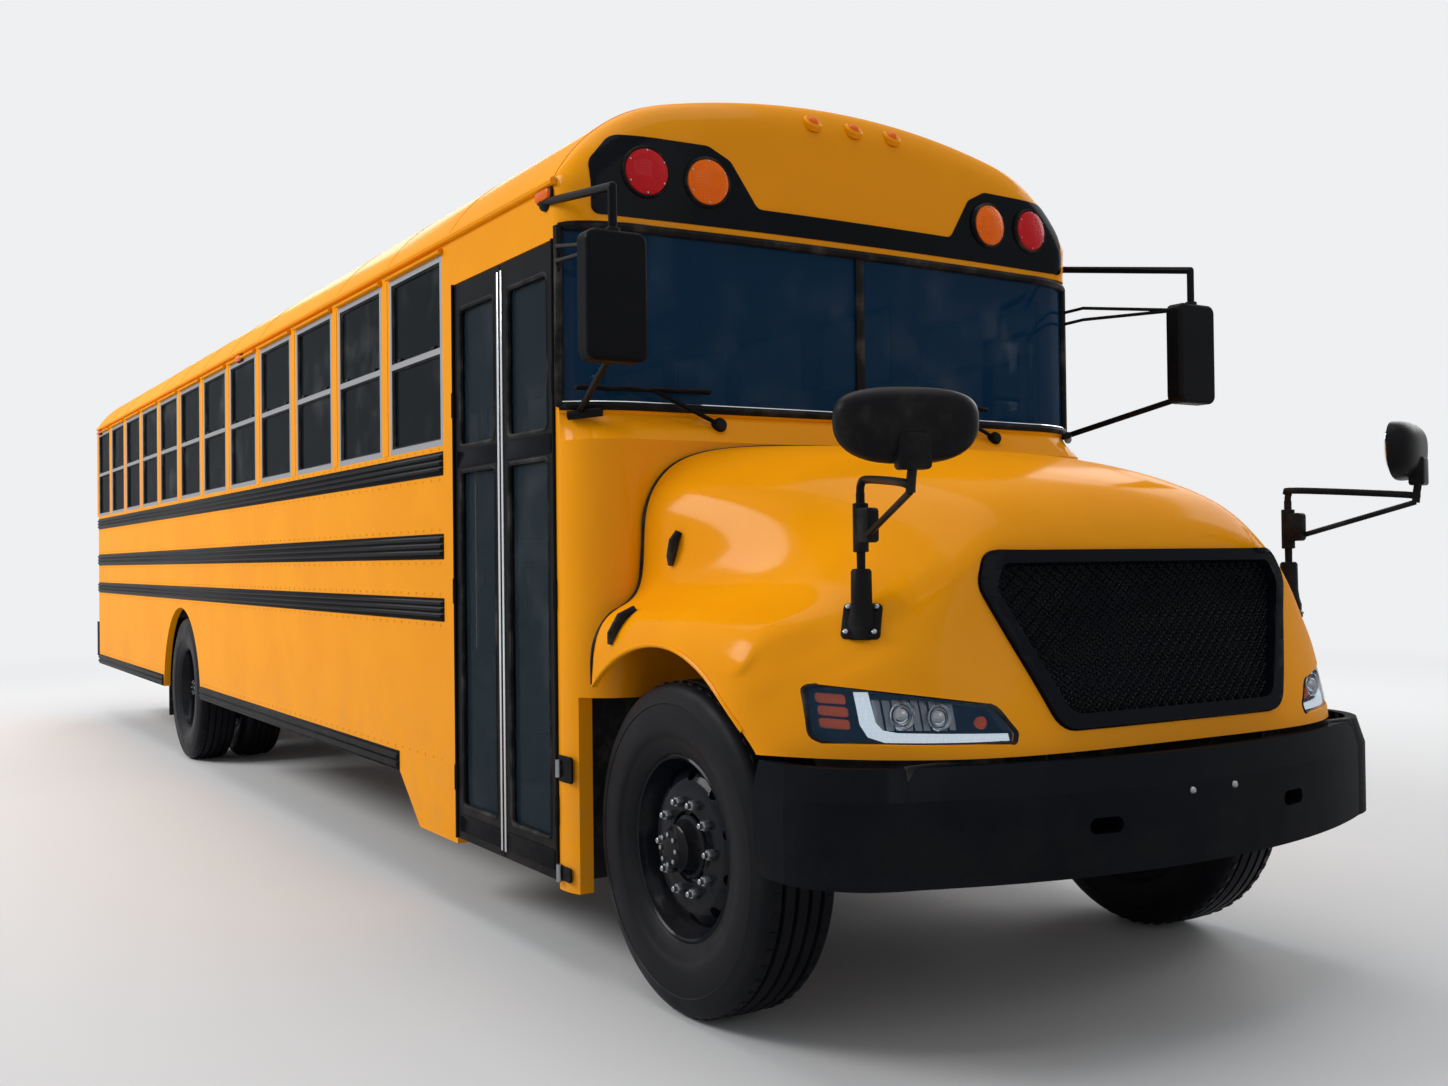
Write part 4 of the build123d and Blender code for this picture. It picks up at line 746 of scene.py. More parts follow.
def skin_through(points, faces):
    """A smooth skin that passes through all its points."""
    cage = bmesh.new()
    verts = [cage.verts.new(p) for p in points]
    for face in faces:
        cage.faces.new([verts[k] for k in face])
    bmesh.ops.remove_doubles(cage, verts=cage.verts, dist=0.0005)
    cage.verts.index_update()
    cage.verts.ensure_lookup_table()
    goals = {v.index: v.co.copy() for v in cage.verts}
    for _ in range(14):
        places = cage_limit(cage)
        for v in cage.verts:
            move = goals[v.index] - places[v.index]
            if abs(goals[v.index].y) < 1e-6:
                move.y = 0
            v.co += move
    bmesh.ops.recalc_face_normals(cage, faces=cage.faces)
    mesh = bpy.data.meshes.new("skin")
    cage.to_mesh(mesh)
    cage.free()
    made = form(mesh)
    add_modifier(made, "SUBSURF", levels=3, render_levels=3)
    settle(made)
    settings = {"factor": 0.5, "iterations": 14, "use_only_smooth": True, "use_pin_boundary": True}
    add_modifier(made, "CORRECTIVE_SMOOTH", **settings)
    settle(made)
    return made


def hood_cage():
    """Points and faces of the hood's cage: stations along the hood, drops below them and the nose rows."""
    points, faces = [], []
    drops = len(nose_rows)
    columns = len(hood_stations[0][1])
    for side in (1, -1):
        stations = []
        for x, section in hood_stations:
            lip_y, lip_z = section[-1]
            station = [(x, side * y, z) for y, z in section]
            for k in range(1, drops + 1):
                z = lip_z - (lip_z - hood_low_z) * k / drops
                station.append((x, side * (lip_y + 0.006 * math.sin(math.pi * k / drops)), z))
            stations.append(station)
        numbers = numbered(stations, len(points))
        points += [p for station in stations for p in station]
        faces += quads(numbers)
        rows = [numbers[-1][:columns]]
        for k, row in enumerate(nose_rows):
            rows.append([len(points) + j for j in range(len(row))] + [numbers[-1][columns + k]])
            points += [(x, side * y, z) for x, y, z in row]
        faces += quads(rows)
    return points, faces


# Openings of the hood in front view, as (y, z)
grille_corners = [
    (-0.468, 0.928), (0.468, 0.928), (0.655, 1.335), (0.612, 1.432), (-0.612, 1.432), (-0.655, 1.335),
]
grille_radii = [0.085, 0.085, 0.075, 0.06, 0.06, 0.075]
lamp_corners = [(1.085, 1.075), (1.085, 0.913), (0.615, 0.905), (0.607, 0.932), (0.66, 1.013)]
lamp_radii = [0.022, 0.03, 0.012, 0.012, 0.05]


def lamp_outline(side, grow=0.0):
    """A headlamp's outline, grown by a margin."""
    grown = [(y + (grow if y > 0.9 else -grow), z + (grow if z > 1.0 else -grow)) for y, z in lamp_corners]
    return rounded([(side * y, z) for y, z in grown], lamp_radii)


hood_skin = skin_through(*hood_cage())
hood_shell = form(hood_skin.data.copy())
add_modifier(hood_shell, "SOLIDIFY", thickness=0.022, offset=-1.0, use_even_offset=True)
settle(hood_shell)
arch_cut = arch_radius - 0.002
arch_section = [(-1.4, 0), (-1.4, arch_cut), (1.4, arch_cut), (1.4, 0)]
carve(
    hood_shell,
    turned(arch_section, (front_axle_x, 0, tyre_radius), (0, 1, 0), steps=96),
    prism(rounded(grille_corners, grille_radii), 5.6, 6.3),
    prism(lamp_outline(1), 5.5, 6.3),
    prism(lamp_outline(-1), 5.5, 6.3),
)
joined("hood_moulding", [dressed(hood_shell, paint)], "hood", replaces=("hood",))


def skin_ray(skin, start, direction, out=0.0):
    """Where a ray meets a skin, moved out along the normal, and the outward normal there."""
    hit, place, normal, _ = skin.ray_cast(Vector(start), Vector(direction))
    if not hit:
        raise ValueError(f"no skin at {start}")
    if normal.dot(Vector(direction)) > 0:
        normal = -normal
    return place + normal * out, normal


def nose_point(y, z, out=0.0):
    """The point of the hood's nose seen from the front at y, z."""
    return skin_ray(hood_skin, (6.6, y, z), (-1, 0, 0), out)[0]


def side_point(x, z, side, out=0.0):
    """The point of the hood's flank seen from the side at x, z."""
    return skin_ray(hood_skin, (x, side * 1.6, z), (0, -side, 0), out)[0]


# Header over the windscreen: rounded form, black lamp panel and lamps


def arc_points(centre, radius, start, end, steps):
    """Points along an arc in a plane, from one angle to another."""
    return [
        Vector((centre[0] + radius * math.cos(a), centre[1] + radius * math.sin(a)))
        for a in (start + (end - start) * k / steps for k in range(steps + 1))
    ]


def roof_line(steps=22):
    """Half roof outline from the wall's foot at the header up to the centre, as (y, z)."""
    top_radius = 3.5008
    top_centre = (0.0, crown_z - top_radius)
    side_radius = 0.6485
    side_centre = (0.6355, 2.4398)
    shoulder_y, shoulder_z = 0.78, 3.072
    low = math.atan2(eave_z - side_centre[1], side_y - side_centre[0])
    high = math.atan2(shoulder_z - side_centre[1], shoulder_y - side_centre[0])
    shoulder = math.atan2(shoulder_z - top_centre[1], shoulder_y)
    wall = [Vector((side_y, screen_top_z + (eave_z - screen_top_z) * k / 6)) for k in range(6)]
    return wall + arc_points(side_centre, side_radius, low, high, steps) + arc_points(
        top_centre, top_radius, shoulder, math.pi / 2, steps
    )[1:]


def header_face(y, z):
    """Front face of the header: a shallow bow that leans back with height."""
    return 4.532 - 0.030 * (y / 0.9) ** 2 - 0.085 * max(0.0, z - 2.70) ** 1.2


def header_skin(rings=9, across=48):
    """Grid of the header: rings from the roof seam round the edge, then level rows across the front."""
    half = roof_line()
    outline = [Vector((-p.x, p.y)) for p in half] + half[-2::-1]
    count = len(outline)
    normals = []
    for k, p in enumerate(outline):
        ahead = outline[min(k + 1, count - 1)] - outline[max(k - 1, 0)]
        normal = Vector((-ahead.y, ahead.x)).normalized()
        if p.y < eave_z + 1e-6:
            side = math.copysign(1, p.x)
            share = (p.y - screen_top_z) / (eave_z - screen_top_z)
            normal = Vector((side, 0)).lerp(Vector((0.878 * side, 0.478)), share).normalized()
        normals.append(normal)
    edge = 0.165
    rows = []
    for ring in range(rings + 1):
        t = math.pi / 2 * ring / rings
        row = []
        for p, n in zip(outline, normals):
            place = p - n * edge * (1 - math.cos(t))
            depth = header_face(*(p - n * edge)) - door_front_x
            row.append((door_front_x + depth * math.sin(t), place.x, place.y))
        rows.append(row)
    levels = []
    for _, y, z in rows[-1][: count // 2 + 1]:
        ys = [y * (1 - 2 * column / across) for column in range(across + 1)]
        levels.append([(header_face(here, z), here, z) for here in ys])
    points = [p for row in rows + levels for p in row]
    return points, quads(numbered(rows)) + quads(numbered(levels, count * len(rows)))


header_form = facing_out(loose(*header_skin()), 0.0004)
facing_ahead(header_form.data)
header_shell = form(header_form.data.copy())
add_modifier(header_shell, "SOLIDIFY", thickness=0.04, offset=-1.0)
settle(header_shell)
joined("header_moulding", [dressed(header_shell, paint)], "body", replaces=("front_cap",))


def header_point(y, z, out=0.0):
    """The point of the header seen from the front at y, z."""
    return skin_ray(header_form, (5.4, y, z), (-1, 0, 0), out)[0]


def draped(outline, project, rise, depth, finish, holes=(), spacing=0.02):
    """A plate cut to an outline in front view, laid on a form by project and thickened."""
    cut = bmesh.new()
    loops = [outline, *holes]
    flat = [p for loop in loops for p in loop]
    verts = [cut.verts.new((a, b, 0)) for a, b in flat]
    for triangle in tessellate_polygon([[Vector((a, b, 0)) for a, b in loop] for loop in loops]):
        try:
            cut.faces.new([verts[k] for k in triangle])
        except ValueError:  # a triangle without width, or one that is there already
            continue
    for axis in (0, 1):
        low, high = min(p[axis] for p in flat), max(p[axis] for p in flat)
        normal = Vector((1 - axis, axis, 0))
        cuts = max(1, int((high - low) / spacing))
        for k in range(1, cuts):
            place = normal * (low + (high - low) * k / cuts)
            geometry = cut.verts[:] + cut.edges[:] + cut.faces[:]
            bmesh.ops.bisect_plane(cut, geom=geometry, plane_co=place, plane_no=normal, dist=1e-6)
    bmesh.ops.remove_doubles(cut, verts=cut.verts, dist=1e-5)
    for v in cut.verts:
        v.co = project(v.co.x, v.co.y, rise)
    bmesh.ops.recalc_face_normals(cut, faces=cut.faces)
    mesh = bpy.data.meshes.new("plate")
    cut.to_mesh(mesh)
    cut.free()
    facing_ahead(mesh)
    made = form(mesh)
    width, sharpest = min(0.004, depth * 0.4), math.radians(55)
    add_modifier(made, "SOLIDIFY", thickness=depth, offset=-1.0)
    add_modifier(made, "BEVEL", width=width, segments=2, limit_method="ANGLE", angle_limit=sharpest)
    settle(made)
    return dressed(made, finish)


half_band = [(1.118, 2.612), (1.118, 2.80), (1.03, 2.905), (0.66, 2.905), (0.57, 2.86), (0.462, 2.695)]
half_radii = [0.03, 0.07, 0.07, 0.06, 0.05, 0.04]
lamp_band = [(-y, z) for y, z in half_band[:1]] + half_band + [(-y, z) for y, z in half_band[:0:-1]]
lamp_band_radii = half_radii[:1] + half_radii + half_radii[:0:-1]
lamp_panel = draped(rounded(lamp_band, lamp_band_radii, 6), header_point, 0.004, 0.010, black_gloss)
joined("lamp_panel", [lamp_panel])


def round_lamp(place, normal, radius, finish):
    """A round lamp: black rim, domed lens and small screws."""
    dome = [(0.002, 0.93), (0.016, 0.90), (0.024, 0.70), (0.029, 0.35), (0.030, 0)]
    rim = [(-0.004, 0.90), (-0.004, 1.04), (0.010, 1.04), (0.016, 1), (0.014, 0.93), (0.0, 0.92)]
    made = []
    for profile, look in ((dome, finish), (rim, seal)):
        made.append(turned([(along, radius * share) for along, share in profile], place, normal, look))
    ahead = Vector(normal).normalized()
    across = ahead.cross(Vector((0, 0, 1))).normalized()
    for k in range(6):
        a = math.pi * (k + 0.5) / 3
        outward = across * math.cos(a) + ahead.cross(across) * math.sin(a)
        spot = Vector(place) + ahead * 0.017 + outward * radius * 0.84
        made.append(turned([(0, 0.004), (0.004, 0.0032), (0.004, 0)], spot, ahead, nut_steel, steps=6))
    return made


body_lamp_radius = 0.089
lamps = []
for side in (1, -1):
    for y, z, finish in ((0.915, 2.776, red_lens), (0.672, 2.768, amber_lens)):
        place = header_point(side * y, z, 0.002)
        lamps += round_lamp(place, (1, side * 0.08, 0.02), body_lamp_radius, finish)
for side in (1, -1):
    for y, z, finish in ((0.90, 2.745, red_lens), (0.65, 2.76, amber_lens)):
        lamps += round_lamp((body_rear_x - 0.002, side * y, z), (-1, 0, 0), body_lamp_radius, finish)
joined("warning_lamp_set", lamps, replaces=("warning_lamps",))


def arc3(a, b, c, steps):
    """Points on the arc through three points of a plane, from the first to the last."""
    (ax, ay), (bx, by), (cx, cy) = a, b, c
    d = 2 * (ax * (by - cy) + bx * (cy - ay) + cx * (ay - by))
    ux = ((ax**2 + ay**2) * (by - cy) + (bx**2 + by**2) * (cy - ay) + (cx**2 + cy**2) * (ay - by)) / d
    uy = ((ax**2 + ay**2) * (cx - bx) + (bx**2 + by**2) * (ax - cx) + (cx**2 + cy**2) * (bx - ax)) / d
    radius = math.hypot(ax - ux, ay - uy)
    start = math.atan2(ay - uy, ax - ux)
    middle = (math.atan2(by - uy, bx - ux) - start) % (2 * math.pi)
    sweep = (math.atan2(cy - uy, cx - ux) - start) % (2 * math.pi)
    if middle > sweep:
        sweep -= 2 * math.pi
    return [
        (ux + radius * math.cos(start + sweep * k / steps), uy + radius * math.sin(start + sweep * k / steps))
        for k in range(steps + 1)
    ]


def screen_plan(out=0.0):
    """Plan of the windscreen's face as (x, y), from the right end to the left."""
    front = front_axle_x - 0.5 + out
    side = side_y + out * 0.3
    bow = arc3((front - 0.028, -0.9), (front, 0), (front - 0.028, 0.9), 24)
    left = arc3((front - 0.028, 0.9), (front - 0.063, 1.095), (front - 0.135, side), 12)
    return [(x, -y) for x, y in reversed(left)] + bow[1:-1] + left


# Windscreen seal, centre post and the strip above it

low_line = [(x, y, screen_base_z + 0.017) for x, y in screen_plan(0.004)]
high_line = [(x, y, screen_top_z - 0.015) for x, y in reversed(screen_plan(0.004))]
joined("windscreen_seal", [tube(low_line + high_line, 0.017, seal, closed=True, sides=8)])
post = box(-0.019, 0.019, screen_base_z + 0.02, screen_top_z - 0.015)
joined("windscreen_post", [slab(post, 4.518, 4.532, seal)])
for name, out, rise, radius, finish in (
    ("seal_bead", 0.010, 0.030, 0.0035, chrome),
    ("wiper_cowl_lip", 0.006, -0.004, 0.006, paint),
):
    line = [(x, y, screen_base_z + rise) for x, y in screen_plan(out)]
    joined(name, [tube(line, radius, finish, sides=6)])

# Identification and marker lamps

pod_profile = [(-0.01, 0.040), (0.008, 0.038), (0.014, 0.030), (0.012, 0.024)]
pod_dome = [(0.006, 0.027), (0.016, 0.022), (0.021, 0.012), (0.022, 0)]
pods = []
for y in (-0.19, 0.0, 0.19):
    for profile, finish in ((pod_profile, paint), (pod_dome, amber_lens)):
        pods.append(turned(profile, header_point(y, 3.062), (1, 0, 0.9), finish))
joined("header_marker_lamps", pods)

markers = []
for side in (1, -1):
    y = side * (side_y - 0.001)
    for x, finish in ((4.30, amber_lens), (-0.20, amber_lens), (-5.80, red_lens)):
        outline = rounded(box(-0.055, 0.055, -0.018, 0.018), 0.012, 3)
        base = [(x + a * 1.14, 2.70 + b * 1.3) for a, b in outline]
        cap = [(x + a, 2.70 + b) for a, b in outline]
        markers.append(slab(base, y, y + side * 0.010, seal, "Y"))
        markers.append(slab(cap, y + side * 0.008, y + side * 0.022, finish, "Y", bevel=0.005))
joined("side_marker_lamps", markers)

# Rub rails: ribbed channels along both sides

rail_bands = ((1.776, 1.876), (1.429, 1.535), (1.171, 1.268))
skirt_band = (0.49, 0.579)
wall_arch_radius, wall_arch_top_z = 0.65, 1.11
# Half the width of the wall's wheel arch at the top of the skirt's rail
arch_half = math.sqrt(
    wall_arch_radius**2 - (skirt_band[1] - wall_arch_top_z + wall_arch_radius) ** 2
)
bead_section = ((0.06, 0.006), (0.22, 0.0125), (0.42, 0.015), (0.58, 0.015), (0.78, 0.0125), (0.94, 0.006))


def rail_profile(low, high, beads):
    """Section of a rail as (z, distance out): flanges and rounded beads."""
    line = [(low, 0), (low + 0.003, 0.006)]
    span = (high - low - 0.02) / beads
    for bead in range(beads):
        start = low + 0.01 + bead * span
        line += [(start + share * span, out) for share, out in bead_section]
    return line + [(high - 0.003, 0.006), (high, 0)]


def rail(side, rear_x, front_x, band, beads):
    """One ribbed rail along a side, closed flat at both ends."""
    line = rail_profile(*band, beads)[::-side]
    stations = ((rear_x, 0.0), (rear_x + 0.012, 1.0), (front_x - 0.012, 1.0), (front_x, 0.0))
    rows = [[(x, side * (side_y + out * rise), z) for z, out in line] for x, rise in stations]
    return sheet(rows, black_satin)


rails = []
for side, front_x, skirt_front_x in (
    (1, door_front_x - 0.02, door_front_x - 0.02),
    (-1, windows_front_x, door_rear_x - 0.695),
):
    for band in rail_bands:
        rails.append(rail(side, rear_seam_x, front_x, band, 3))
    rails.append(rail(side, rear_seam_x, rear_axle_x - arch_half - 0.02, skirt_band, 2))
    rails.append(rail(side, rear_axle_x + arch_half + 0.02, skirt_front_x, skirt_band, 2))
joined("ribbed_rub_rails", rails, replaces=("rub_rails",))

# Drip rails, roof bows, pillar laps and rivets

roof_half = [p for p in roof_line(16) if p.y >= eave_z - 0.001]
bow_line = [(-p.x, p.y) for p in roof_half] + [(p.x, p.y) for p in roof_half[-2::-1]]


def roof_band(x, half, rise):
    """A low band over the roof at one station."""
    rows = []
    for place, out in ((x + half, 0.0), (x + half, rise), (x - half, rise), (x - half, 0.0)):
        row = []
        for k, (y, z) in enumerate(bow_line):
            before, after = bow_line[max(k - 1, 0)], bow_line[min(k + 1, len(bow_line) - 1)]
            normal = Vector((before[1] - after[1], after[0] - before[0])).normalized()
            row.append((place, y + normal.x * (out - 0.001), z + normal.y * (out - 0.001)))
        rows.append(row)
    return sheet(rows, paint)


strips = []
for side in (1, -1):
    y, z = side * (side_y + 0.008), eave_z - 0.012
    strips.append(tube([(rear_seam_x, y, z), (door_front_x + 0.02, y, z)], 0.014, paint, sides=8))
pillar_xs = [windows_front_x + 0.058 - k * window_pitch for k in range(13)]
for x in pillar_xs:
    if all(abs(x - hatch_x) > 0.36 for _, hatch_x in hatch_places):
        strips.append(roof_band(x, 0.022, 0.0022))
strips.append(roof_band(door_front_x - 0.02, 0.02, 0.003))
for side in (1, -1):
    for x in pillar_xs if side > 0 else pillar_xs[1:]:
        lap = box(x - 0.03, x + 0.03, window_low_z, window_high_z)
        strips.append(slab(lap, side * (side_y - 0.001), side * (side_y + 0.0018), paint, "Y", bevel=0))
joined("body_laps", strips)

rivet_profile = [(0, 0.0062), (0.0015, 0.0056), (0.0028, 0.003), (0.003, 0)]
rivet_pitch = 0.0971
rivet_places, rivet_turns = [], []
for side in (1, -1):
    for z in (1.155, 1.285, 1.413, 1.552, 1.760, 1.889, 0.60):
        x = rear_seam_x + 0.04
        front = (door_front_x - 0.06) if side > 0 else (windows_front_x - 0.02)
        while x < front:
            if z > 1.1 or abs(x - rear_axle_x) > arch_half + 0.06:
                rivet_places.append((x, side * side_y, z))
                rivet_turns.append((0, 0, 0 if side > 0 else math.pi))
            x += rivet_pitch
rivet = turned(rivet_profile, (0, 0, 0), (0, 1, 0), steps=8)
joined("body_rivets", [repeated(rivet, rivet_places, paint, rivet_turns)])

# Side windows: gaskets, catches and drip caps

window_width = 0.66
driver_window_width, driver_window_high_z = 0.82, 2.54
window_xs = [windows_front_x - k * window_pitch - window_width / 2 for k in range(12)]
windows = [(side, x, window_width, window_high_z) for side in (1, -1) for x in window_xs]
driver_window_x = door_front_x - 0.06 - driver_window_width / 2
windows.append((1, driver_window_x, driver_window_width, driver_window_high_z))
gaskets = []
for side, mid_x, width, high in windows:
    y = side * (side_y - 0.014)
    half = width / 2 - 0.026
    for base, top in ((window_low_z + 0.026, window_rail_z - 0.013), (window_rail_z + 0.013, high - 0.026)):
        outline = rounded(box(mid_x - half, mid_x + half, base, top), 0.022, 3)
        gaskets.append(hoop(outline, y, "Y", 0.0085, seal, 5))
    for share in (-0.32, 0.32):
        x = mid_x + share * width
        catch = box(x - 0.02, x + 0.02, window_rail_z + 0.010, window_rail_z + 0.030)
        gaskets.append(slab(catch, y - side * 0.004, y + side * 0.012, seal, "Y"))
    reach, cap_z = width / 2 + 0.012, high + 0.012
    ends = [(mid_x + along, side * (side_y + 0.003), cap_z) for along in (-reach, reach)]
    cap = tube(ends, 0.011, paint, sides=8)
    gaskets.append(moved(cap, lambda x, y, z: (x, y + (side * 0.008 if z < cap_z else 0.0), z)))
joined("window_gaskets", gaskets)

# Service door: edge rubbers, chrome strips and glass gaskets

split_x = (door_front_x + door_rear_x) / 2
for leaf, ahead, low_x, high_x in (
    ("rear", -1, door_rear_x + 0.006, split_x - 0.004),
    ("front", 1, split_x + 0.004, door_front_x - 0.006),
):
    inner_x, outer_x = (high_x, low_x) if leaf == "rear" else (low_x, high_x)
    trim = []
    for base, top in ((0.44, 1.781), (1.879, 2.434)):
        outline = rounded(box(low_x + 0.058, high_x - 0.058, base, top), 0.03, 4)
        trim.append(hoop(outline, 0.006 - side_y, "Y", 0.010, seal, 6))
    strip_xs = sorted((inner_x + ahead * 0.006, inner_x + ahead * 0.020))
    trim.append(slab(box(*strip_xs, 0.33, 2.51), -side_y - 0.006, -side_y + 0.004, chrome, "Y"))
    for z in (0.372, 1.83):
        outline = rounded(box(low_x + 0.03, high_x - 0.03, z - 0.036, z + 0.036), 0.012)
        trim.append(slab(outline, -side_y - 0.003, -side_y + 0.002, black_gloss, "Y"))
    for z in (0.55, 1.30, 2.05):
        ends = [(outer_x, -side_y - 0.005, z + rise) for rise in (-0.05, 0.05)]
        trim.append(tube(ends, 0.0095, black_satin, sides=12))
    joined(f"service_door_{leaf}_trim", trim, f"service_door_{leaf}")

# Wheels: grooved tyres, dished rims with hand holes, hubs, lug nuts and drums


def tyre_profile():
    """Closed section of a tyre as (distance outward, radius), with sidewall ribs and four grooves."""
    wall_line = [
        (0.105, 0.2905), (0.112, 0.299), (0.119, 0.318), (0.123, 0.325), (0.126, 0.337), (0.1315, 0.351),
        (0.1345, 0.355), (0.1375, 0.376), (0.140, 0.400), (0.1385, 0.430), (0.1365, 0.447), (0.1390, 0.450),
        (0.1365, 0.458), (0.131, 0.476), (0.1285, 0.484), (0.124, 0.495), (0.115, 0.5065), (0.102, 0.5125),
    ]

    def crown(a):
        return 0.512 + 0.0078 * (1 - (a / 0.102) ** 2)

    tread = []
    for groove in (0.068, 0.023, -0.023, -0.068):
        tread += [(groove + 0.0075, crown(groove)), (groove + 0.0045, crown(groove) - 0.014)]
        tread += [(groove - 0.0045, crown(groove) - 0.014), (groove - 0.0075, crown(groove))]
    return wall_line + tread + [(-a, r) for a, r in reversed(wall_line)]


def rim_piece(profile, centre, axis, holes_at, count=10):
    """A rim turned from its section, with hand holes round its disc."""
    rim = facing_out(turned(profile, centre, axis, wheel_paint, steps=80, ring=True))
    cutters = []
    for k in range(count):
        a = 2 * math.pi * (k + 0.5) / count
        place = Vector(centre) + Vector((math.cos(a) * holes_at, 0, math.sin(a) * holes_at))
        hole = turned([(-0.3, 0), (-0.3, 0.021), (0.3, 0.021), (0.3, 0)], place, axis, steps=16)
        cutters.append(facing_out(hole))
    carve(rim, *cutters)
    return rim


# Sections as (distance outward, radius)
nut_profile = [
    (0, 0.0175), (0.020, 0.0175), (0.024, 0.014), (0.024, 0.0098), (0.035, 0.0098), (0.037, 0.007),
    (0.037, 0),
]
front_rim = [
    (-0.105, 0.2895), (0.105, 0.2895), (0.1085, 0.283), (0.104, 0.276), (0.085, 0.270), (0.060, 0.2575),
    (0.046, 0.254), (0.034, 0.251), (0.040, 0.245), (0.056, 0.230), (0.0715, 0.206), (0.0745, 0.195),
    (0.0745, 0.112), (0.060, 0.112), (0.060, 0.190), (0.040, 0.222), (0.018, 0.249), (-0.05, 0.253),
    (-0.105, 0.272),
]
front_hub = [
    (0.074, 0.100), (0.079, 0.098), (0.084, 0.086), (0.112, 0.074), (0.122, 0.073), (0.126, 0.066),
    (0.144, 0.058), (0.149, 0.045), (0.150, 0.020), (0.1505, 0),
]
front_drum = [(-0.055, 0.100), (-0.055, 0.206), (0.030, 0.206), (0.040, 0.196), (0.040, 0.105)]
rear_rim = [
    (-0.105, 0.2895), (0.105, 0.2895), (0.1085, 0.283), (0.104, 0.276), (0.085, 0.270), (0.050, 0.2555),
    (-0.040, 0.2545), (-0.075, 0.2525), (-0.105, 0.238), (-0.140, 0.214), (-0.152, 0.198), (-0.153, 0.112),
    (-0.165, 0.112), (-0.165, 0.203), (-0.122, 0.243), (-0.105, 0.262),
]
rear_hub = [
    (-0.153, 0.108), (-0.140, 0.104), (-0.060, 0.096), (0.020, 0.084), (0.026, 0.098), (0.040, 0.098),
    (0.045, 0.088), (0.062, 0.070), (0.072, 0.050), (0.075, 0.020), (0.0755, 0),
]
bolt_profile = [(0, 0.0075), (0.006, 0.0075), (0.007, 0.005), (0.007, 0)]
nut_count, nut_circle = 10, 0.142875
hub_bolt_count, hub_bolt_circle = 8, 0.046


def bolt_circle(centre, side, profile, radius, out, count):
    """Six-sided heads in a circle on the outward side of a wheel."""
    x, y, z = centre
    places = []
    for k in range(count):
        a = 2 * math.pi * k / count
        places.append((x + radius * math.cos(a), y + side * out, z + radius * math.sin(a)))
    head = turned(profile, (0, 0, 0), (0, 1, 0), steps=6)
    return repeated(head, places, nut_steel, [(0, 0, 0 if side > 0 else math.pi)] * count)


def wheel(x, side, tyre_ys, rim_profile, hub_profile, holes_at, nut_out):
    """The rubber and the metal parts of one wheel; tyre_ys are the tyres' middles, the outer one first."""
    centres = [(x, side * y, tyre_radius) for y in tyre_ys]
    axis = (0, side, 0)
    tyres = [turned(tyre_profile(), centre, axis, tyre_rubber, steps=96, ring=True) for centre in centres]
    metals = []
    for centre, lean in zip(centres, (side, -side)):
        metals.append(rim_piece(rim_profile, centre, (0, lean, 0), holes_at))
    metals.append(turned(hub_profile, centres[0], axis, wheel_paint, steps=40))
    metals.append(bolt_circle(centres[0], side, nut_profile, nut_circle, nut_out, nut_count))
    hub_out = hub_profile[-3][0] - 0.001
    metals.append(bolt_circle(centres[0], side, bolt_profile, hub_bolt_circle, hub_out, hub_bolt_count))
    return [facing_out(tyre) for tyre in tyres], metals


for side, hand in hands:
    rubbers, metals = wheel(front_axle_x, side, [front_wheel_y], front_rim, front_hub, 0.226, 0.0745)
    drum_place = (front_axle_x, side * front_wheel_y, tyre_radius)
    metals.append(turned(front_drum, drum_place, (0, side, 0), cast_grey))
    body = f"wheel_front_{hand}"
    joined(f"front_tyre_{hand}", rubbers, body, replaces=(f"tyre_front_{hand}",))
    joined(f"front_rim_{hand}", metals, body, replaces=(f"rim_front_{hand}",))
    rubbers, metals = wheel(rear_axle_x, side, rear_wheel_ys, rear_rim, rear_hub, 0.228, -0.153)
    body = f"wheels_rear_{hand}"
    joined(f"rear_tyres_{hand}", rubbers, body, replaces=(f"tyres_rear_{hand}",))
    joined(f"rear_rims_{hand}", metals, body, replaces=(f"rims_rear_{hand}",))

# Shoulder lugs of the tread

lug_count, lug_radius, lug_out = 56, 0.5135, 0.0875
axles = (("wheel_front", front_axle_x, [front_wheel_y]), ("wheels_rear", rear_axle_x, rear_wheel_ys))
for body, x, tyre_ys in axles:
    for side, hand in hands:
        places, turns = [], []
        for y in tyre_ys:
            for edge in (-1, 1):
                for k in range(lug_count):
                    a = 2 * math.pi * (k + (0.5 if edge > 0 else 0)) / lug_count
                    across, up = lug_radius * math.sin(a), lug_radius * math.cos(a)
                    places.append((x + across, side * y + edge * lug_out, tyre_radius + up))
                    turns.append((0, a, 0))
        lug = slab(box(-0.013, 0.013, -0.012, 0.012), -0.004, 0.0035, tyre_rubber, "Z")
        joined(f"{body}_{hand}_tread", [repeated(lug, places, tyre_rubber, turns)], f"{body}_{hand}")

# Grille: glossy frame and a woven mesh on the nose

inner_corners = [
    (-0.428, 0.972), (0.428, 0.972), (0.600, 1.325), (0.566, 1.392), (-0.566, 1.392), (-0.600, 1.325),
]
inner_radii = [0.07, 0.07, 0.05, 0.035, 0.035, 0.05]
grille_mid_z = 1.18


def scaled(corners, wide, high):
    """Corners drawn out from the middle of the grille."""
    return [(y * wide, grille_mid_z + (z - grille_mid_z) * high) for y, z in corners]


frame_outline = rounded(scaled(grille_corners, 0.994, 0.985), grille_radii, 6)
inner_outline = rounded(inner_corners, inner_radii, 6)
back_outline = rounded(scaled(inner_corners, 1.13, 1.06), 0.05, 4)
grille = [
    draped(frame_outline, nose_point, 0.014, 0.034, black_gloss, [inner_outline], spacing=0.04),
    draped(back_outline, nose_point, -0.045, 0.004, plastic, spacing=0.06),
]


